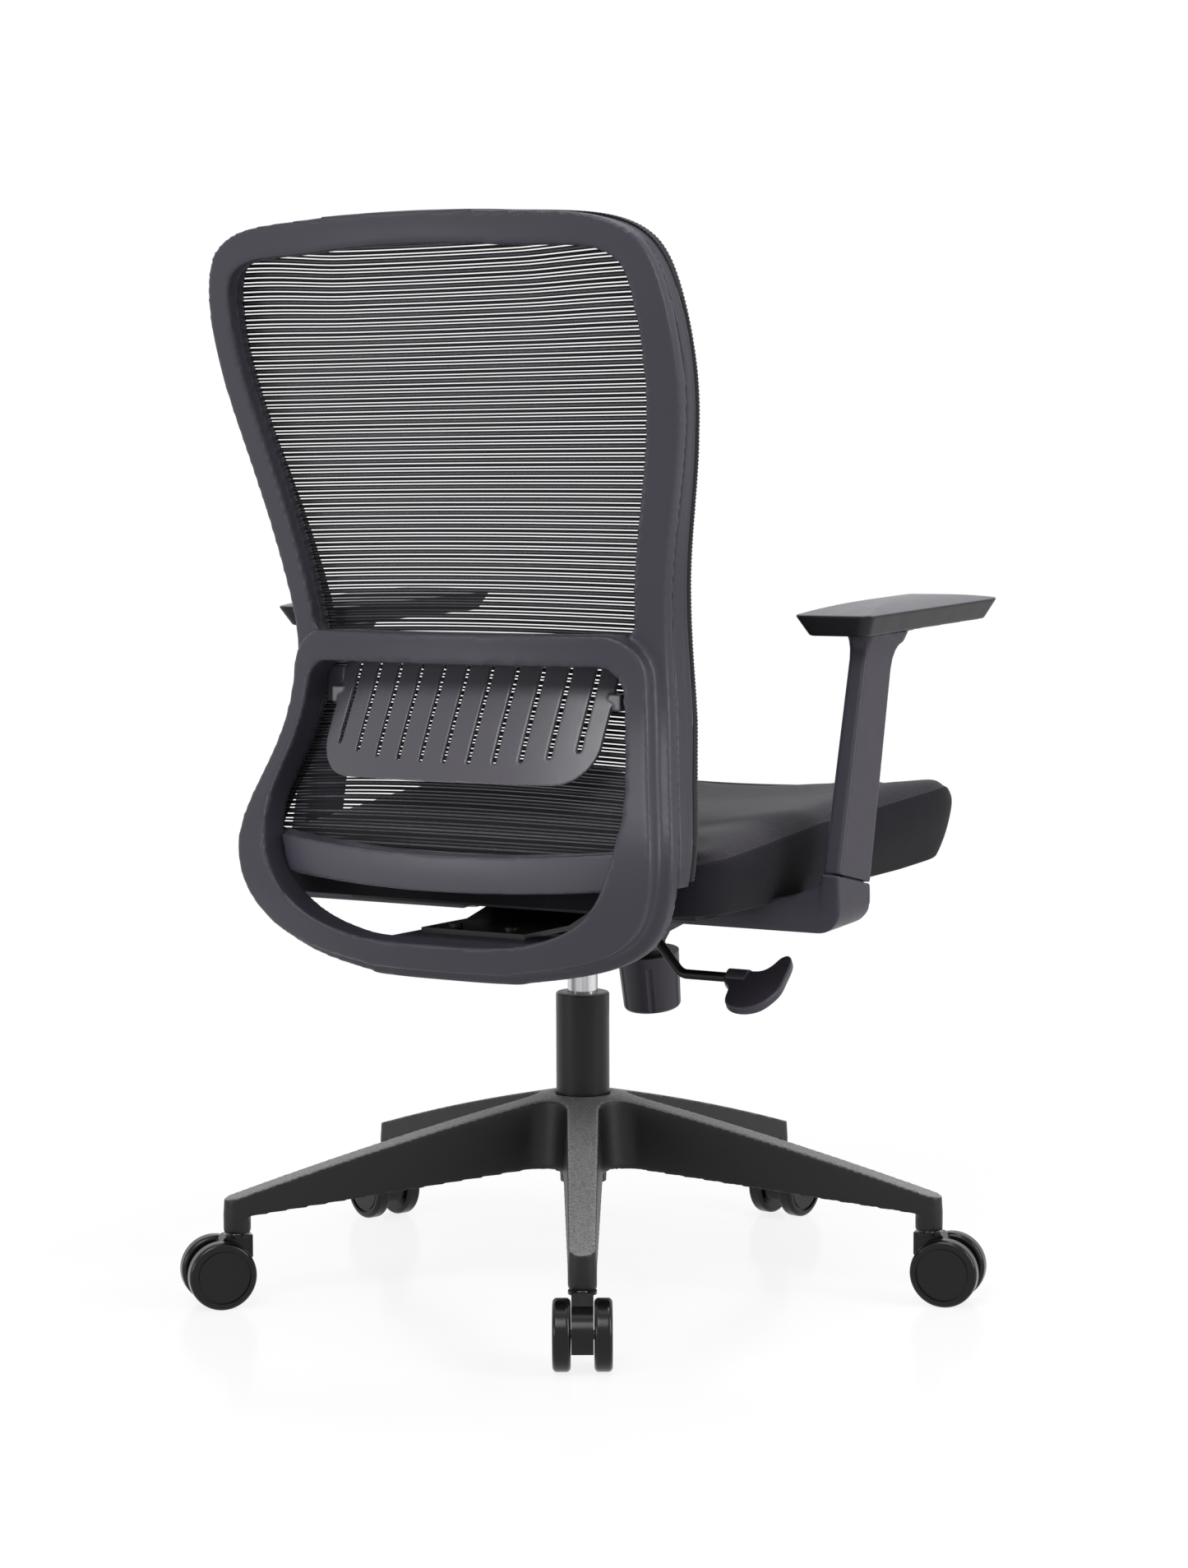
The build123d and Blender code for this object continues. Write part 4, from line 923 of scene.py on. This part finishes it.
@dataclass
class BackMesh:
    """Open warp knit stretched over the back: bands of yarn of three widths with slits between them.

    Heights, bands and slits are in millimetres, heights from the CAD's datum. The bands sag near the top
    and rise further down.
    """

    bands: tuple[float, ...] = (1.7, 2.85, 4.1)
    slit: float = 1.05
    low: float = 399.0
    high: float = 968.0
    level: float = 600.0
    span: float = 350.0
    ease: float = 60.0
    top_dip: float = -5.0
    low_rise: float = 5.5
    columns: int = 30
    thickness: float = 0.6 * MM
    margin: float = 1.2 * MM
    shortest: float = 20 * MM
    widest: float = 300 * MM
    halvings: int = 12
    beyond: float = 1.0

    def rows(self) -> list[tuple[float, float, int]]:
        """Lower edge, upper edge and finish number of each row; a wide band has a pale thread inside."""
        made = []
        z = self.low
        while z < self.high:
            for number, wide in enumerate(self.bands):
                if number < 2:
                    made.append((z, z + wide, 0))
                else:
                    one, two = z + wide / 3, z + 2 * wide / 3
                    made += [(z, one, 0), (one, two, 1), (two, z + wide, 0)]
                z += wide + self.slit
        return [row for row in made if row[1] < self.high]

    def surface(self, probe: Probe, x: float, z: float) -> Vector | None:
        """Middle of the solid sheet at one place of the back, if it is there."""
        front = probe.hit(Vector((x, -self.beyond, z)), Vector((0, 1, 0)))
        rear = probe.hit(Vector((x, self.beyond, z)), Vector((0, -1, 0)))
        return (front + rear) / 2 if front and rear else None

    def half(self, probe: Probe, z: float) -> float:
        """Half width of the solid sheet at one height."""
        inside, outside = 0.0, self.widest
        if not self.surface(probe, inside, z):
            return 0.0
        for _ in range(self.halvings):
            x = (inside + outside) / 2
            if self.surface(probe, x, z):
                inside = x
            else:
                outside = x
        return inside

    def yarn(self, probe: Probe, z_mm: float) -> list[Vector] | None:
        """One edge of a band across the back.

        Args:
            probe: finds the surface of the CAD mesh.
            z_mm: the edge's height at both sides.

        Returns:
            Its points from side to side, or None where the sheet is too narrow.
        """
        z = z_mm * MM + GROUND
        reach = self.half(probe, z) - self.margin
        share = (z_mm - self.level) / self.span
        lift = (self.low_rise + (self.top_dip - self.low_rise) * share) * MM
        lift *= min(1.0, max(0.0, (z_mm - self.low) / self.ease)) if z_mm < self.level else 1.0
        row = []
        for k in range(self.columns + 1):
            place = 2 * k / self.columns - 1
            row.append(self.surface(probe, reach * place, z + lift * (1 - place ** 2)))
        return row if reach > self.shortest and all(row) else None

    def build(self, frame: Frame) -> Thing:
        """Weave the bands across the back, on the CAD mesh's own surface.


        Returns:
            The mesh.
        """
        probe = Probe(frame["nodes"]["back_mesh"])
        points: list[Vector] = []
        faces: list[list[int]] = []
        finishes: list[int] = []
        n = self.columns + 1
        for low, high, finish in self.rows():
            lower, upper = self.yarn(probe, low), self.yarn(probe, high)
            if not lower or not upper:
                continue
            first = len(points)
            points += lower + upper
            for k in range(self.columns):
                faces.append([first + k, first + n + k, first + n + k + 1, first + k + 1])
                finishes.append(finish)
        piece = mesh_piece("back_mesh_knit", points, faces)
        for polygon, finish in zip(piece.data.polygons, finishes):
            polygon.material_index = finish
        piece.data.materials.append(Finishes.YARN.make())
        piece.data.materials.append(Finishes.THREAD.make())
        clean(piece, weld=0.02 * MM)
        apply_modifier(piece, "SOLIDIFY", thickness=self.thickness, offset=0.0)
        smooth(piece, 40)
        BackCorners().square(piece)
        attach(piece, "tilt")
        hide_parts("back_mesh")
        return piece


@dataclass
class KnitEdge:
    """Ribbed selvage of the mesh, wrapped round the outside of its frame and over its front.

    The tables give millimetres at heights in millimetres: how much of the knit shows from the side, and
    how far its roll stands forward.
    """

    pitch: float = 3.3 * MM
    wrap: float = 11.0 * MM
    proud: float = 0.45 * MM
    rib: float = 0.55 * MM
    front: float = 2.2 * MM
    shown: Spots = ((400, 10), (540, 9), (880, 8), (945, 12))
    roll: Spots = ((400, 4), (450, 9), (540, 13), (640, 10), (720, 5), (790, 0))
    ridge: float = 1.8 * MM
    inset: float = 1.2 * MM
    tuck: float = 2.0 * MM
    turn: float = 1.8 * MM
    thickness: float = 0.5 * MM
    middle: Point = (0.0, 0.0, 0.66)
    lowest: float = 399 * MM + GROUND
    rays: int = 1400
    reach: tuple[float, float] = (0.45, 0.15)
    stride: float = 4 * MM
    halvings: int = 8

    def outline(self, probe: Probe) -> list[Vector]:
        """Outer edge of the mesh frame seen from behind, from one lower end over the top to the other.

        Args:
            probe: finds the surface of the CAD mesh frame.

        Returns:
            Points with Y zero.
        """
        ahead = Vector((0, 1, 0))
        found = []
        for k in range(self.rays):
            angle = 2 * math.pi * k / self.rays - math.pi / 2
            way = Vector((math.cos(angle), 0, math.sin(angle)))
            inside = None
            reach, least = self.reach
            while reach > least and inside is None:
                place = Vector(self.middle) + way * reach
                if place.z > self.lowest and probe.hit(place - ahead, ahead):
                    inside = reach
                reach -= self.stride
            if inside is None:
                continue
            outside = inside + self.stride
            for _ in range(self.halvings):
                reach = (inside + outside) / 2
                if probe.hit(Vector(self.middle) + way * reach - ahead, ahead):
                    inside = reach
                else:
                    outside = reach
            place = Vector(self.middle) + way * inside
            if place.z > self.lowest + 0.5 * MM:
                found.append(place)
        return found

    def evenly(self, run: Sequence[Vector], step: float) -> list[Vector]:
        """Points one step apart along a run."""
        made = [run[0].copy()]
        for end in run[1:]:
            while (end - made[-1]).length > step:
                made.append(made[-1] + (end - made[-1]).normalized() * step)
        return made

    def section(self, near: float, far: float, height: float, rise: float, rib: float) -> Spots:
        """Section of the knit at one place, from behind the frame round to its front.

        Args:
            near: Y of the frame's front.
            far: Y of the frame's rear.
            height: the place's height.
            rise: how far the edge faces up there.
            rib: how far this rib stands out.

        Returns:
            Pairs of the way out from the edge and Y.
        """
        side = self.proud + rib + self.ridge * max(0.0, rise)
        tip = near - self.front - rib - height_at(self.roll, height)
        hem = min(far - self.tuck, tip + height_at(self.shown, height))
        return ((-1.6 * MM, far + self.tuck),
                (self.proud / 2, min(far - 2 * self.tuck, hem + self.tuck)),
                (self.proud, hem), (side, hem - 0.4 * MM), (side + 0.2 * MM, (hem + tip) / 2),
                (side, tip + self.turn), (-1.4 * MM, tip), (-self.wrap, tip + 0.2 * MM),
                (-self.wrap - 0.8 * MM, near - 0.9 * MM))

    def build(self, frame: Frame) -> Thing:
        """Sweep the ribbed section along the frame's edge.


        Returns:
            The selvage.
        """
        probe = Probe(frame["nodes"]["mesh_frame"])
        run = self.evenly(self.outline(probe), self.pitch / 2)
        ahead = Vector((0, 1, 0))
        points: list[Vector] = []
        near = far = run[0]
        for k, place in enumerate(run):
            before, after = run[max(0, k - 3)], run[min(len(run) - 1, k + 3)]
            way = (after - before).normalized()
            out = Vector((way.z, 0, -way.x))
            if out.dot(place - Vector(self.middle)) < 0:
                out = -out
            core = place - out * self.inset
            near = probe.hit(core - ahead, ahead) or near
            far = probe.hit(core + ahead, -ahead) or far
            section = self.section(near.y, far.y, place.z, out.z, self.rib if k % 2 else 0.0)
            points += [place + out * reach + ahead * y for reach, y in section]
        count = len(points) // len(run)
        faces = [[j * count + i, j * count + i + 1, (j + 1) * count + i + 1, (j + 1) * count + i]
                 for j in range(len(run) - 1) for i in range(count - 1)]
        piece = mesh_piece("back_mesh_selvage", points, faces)
        paint(piece, Finishes.SELVAGE)
        piece.data.materials.append(Finishes.FRAME.make())
        for number, polygon in enumerate(piece.data.polygons):
            polygon.material_index = 1 if number % (count - 1) < 2 else 0
        clean(piece)
        apply_modifier(piece, "SOLIDIFY", thickness=self.thickness, offset=-1.0)
        smooth(piece, 50)
        BackCorners().square(piece)
        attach(piece, "tilt")
        return piece


@dataclass
class TensionSpring:
    """Steel compression spring round the tension bolt, wound as a real coil."""

    place: Point = (0.0, -116 * MM, 321.2 * MM + GROUND)
    lean: float = -9.0
    radius: float = 13.0 * MM
    wire: float = 1.9 * MM
    length: float = 47.6 * MM
    turns: int = 7
    sides: int = 10
    steps: int = 28

    def build(self, frame: Frame) -> Thing:
        """Wind a round wire section along the bolt and set it under the housing.


        Returns:
            The coil.
        """
        deselect()
        bpy.ops.mesh.primitive_circle_add(
            vertices=self.sides, radius=self.wire, location=(self.radius, 0, self.wire),
            rotation=(math.pi / 2, 0, 0))
        coil = bpy.context.object
        coil.name = "tension_coil"
        bpy.ops.object.transform_apply()
        apply_modifier(coil, "SCREW", axis="Z", angle=2 * math.pi * self.turns, iterations=1,
                       steps=self.steps * self.turns, render_steps=self.steps * self.turns,
                       screw_offset=self.length - 2 * self.wire)
        clean(coil, weld=0.001 * MM, outwards=False)
        bpy.ops.object.mode_set(mode="EDIT")
        bpy.ops.mesh.select_all(action="DESELECT")
        bpy.ops.mesh.select_non_manifold()
        bpy.ops.mesh.edge_face_add()
        clean(coil)
        turned = Matrix.Rotation(math.radians(self.lean), 4, "X")
        foot = Vector(self.place) - turned @ Vector((0, 0, self.length))
        coil.data.transform(Matrix.Translation(foot) @ turned)
        smooth(coil, 60)
        paint(coil, Finishes.ZINC)
        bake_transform(coil)
        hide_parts("tension_spring")
        return coil


def dress_cad(frame: Frame) -> None:
    """Give each carried over CAD node the finish of its record slot.
    """
    by_slot = {
        "black_plastic": Finishes.BLACK, "base_nylon": Finishes.BASE, "arm_plastic": Finishes.ARM,
        "seat_fabric": Finishes.BORDER, "mesh_fabric": Finishes.YARN, "black_paint": Finishes.PAINT,
        "chrome_tube": Finishes.CHROME, "zinc_steel": Finishes.ZINC, "wheel_plastic": Finishes.WHEEL}
    special = {"tension_knob": Finishes.KNOB, "lever_paddle": Finishes.KNOB,
               "back_screws": Finishes.PAINT, "column_bush": Finishes.COLLAR}
    slots = {part["node"]: part["material_slot"] for part in frame["record"]["subparts"]}
    for name, node in frame["nodes"].items():
        paint(node, special.get(name, by_slot[slots[name]]))


def main() -> None:
    """Load the frame, dress it piece by piece and set up the studio."""
    logging.basicConfig(level=logging.INFO, format="%(asctime)s %(name)s %(message)s")
    for old in list(bpy.data.objects):
        bpy.data.objects.remove(old)
    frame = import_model()
    deselect()
    dress_cad(frame)
    Studio().build()
    mouldings = [
        Moulding("back_frame", "tilt", Finishes.FRAME, "arm_plastic", 2.4, 6, corners=BackCorners()),
        Moulding("mesh_frame", "tilt", Finishes.FRAME, "arm_plastic", 2.0, 2, corners=BackCorners()),
        Moulding("mesh_rail", "tilt", Finishes.RAIL, "arm_plastic", 1.8, 5),
        Moulding("lumbar_pad", "lumbar", Finishes.LUMBAR, "arm_plastic", 1.1, 3),
        Moulding("five_star_base", "base", Finishes.BASE, "base_nylon", 1.9, 3),
    ]
    for side in Side:
        word = side.word
        mouldings += [
            Moulding(f"arm_pad_{word}", f"arm_{word}", Finishes.PAD, "arm_plastic", 1.4, 5,
                     presser=f"arm_trigger_{word}"),
            Moulding(f"arm_sleeve_{word}", f"arm_{word}", Finishes.ARM, "arm_plastic", 1.3, 4),
            Moulding(f"arm_bracket_{word}", "tilt", Finishes.ARM, "arm_plastic", 1.5, 6,
                     filled=Gusset().build(side)),
        ]
    for part in (KnitEdge(), *mouldings, SeatCushion(), BackMesh(), TensionSpring()):
        piece = part.build(frame)
        LOG.info("%s: %d faces", piece.name, len(piece.data.polygons))


if __name__ == "__main__":
    main()
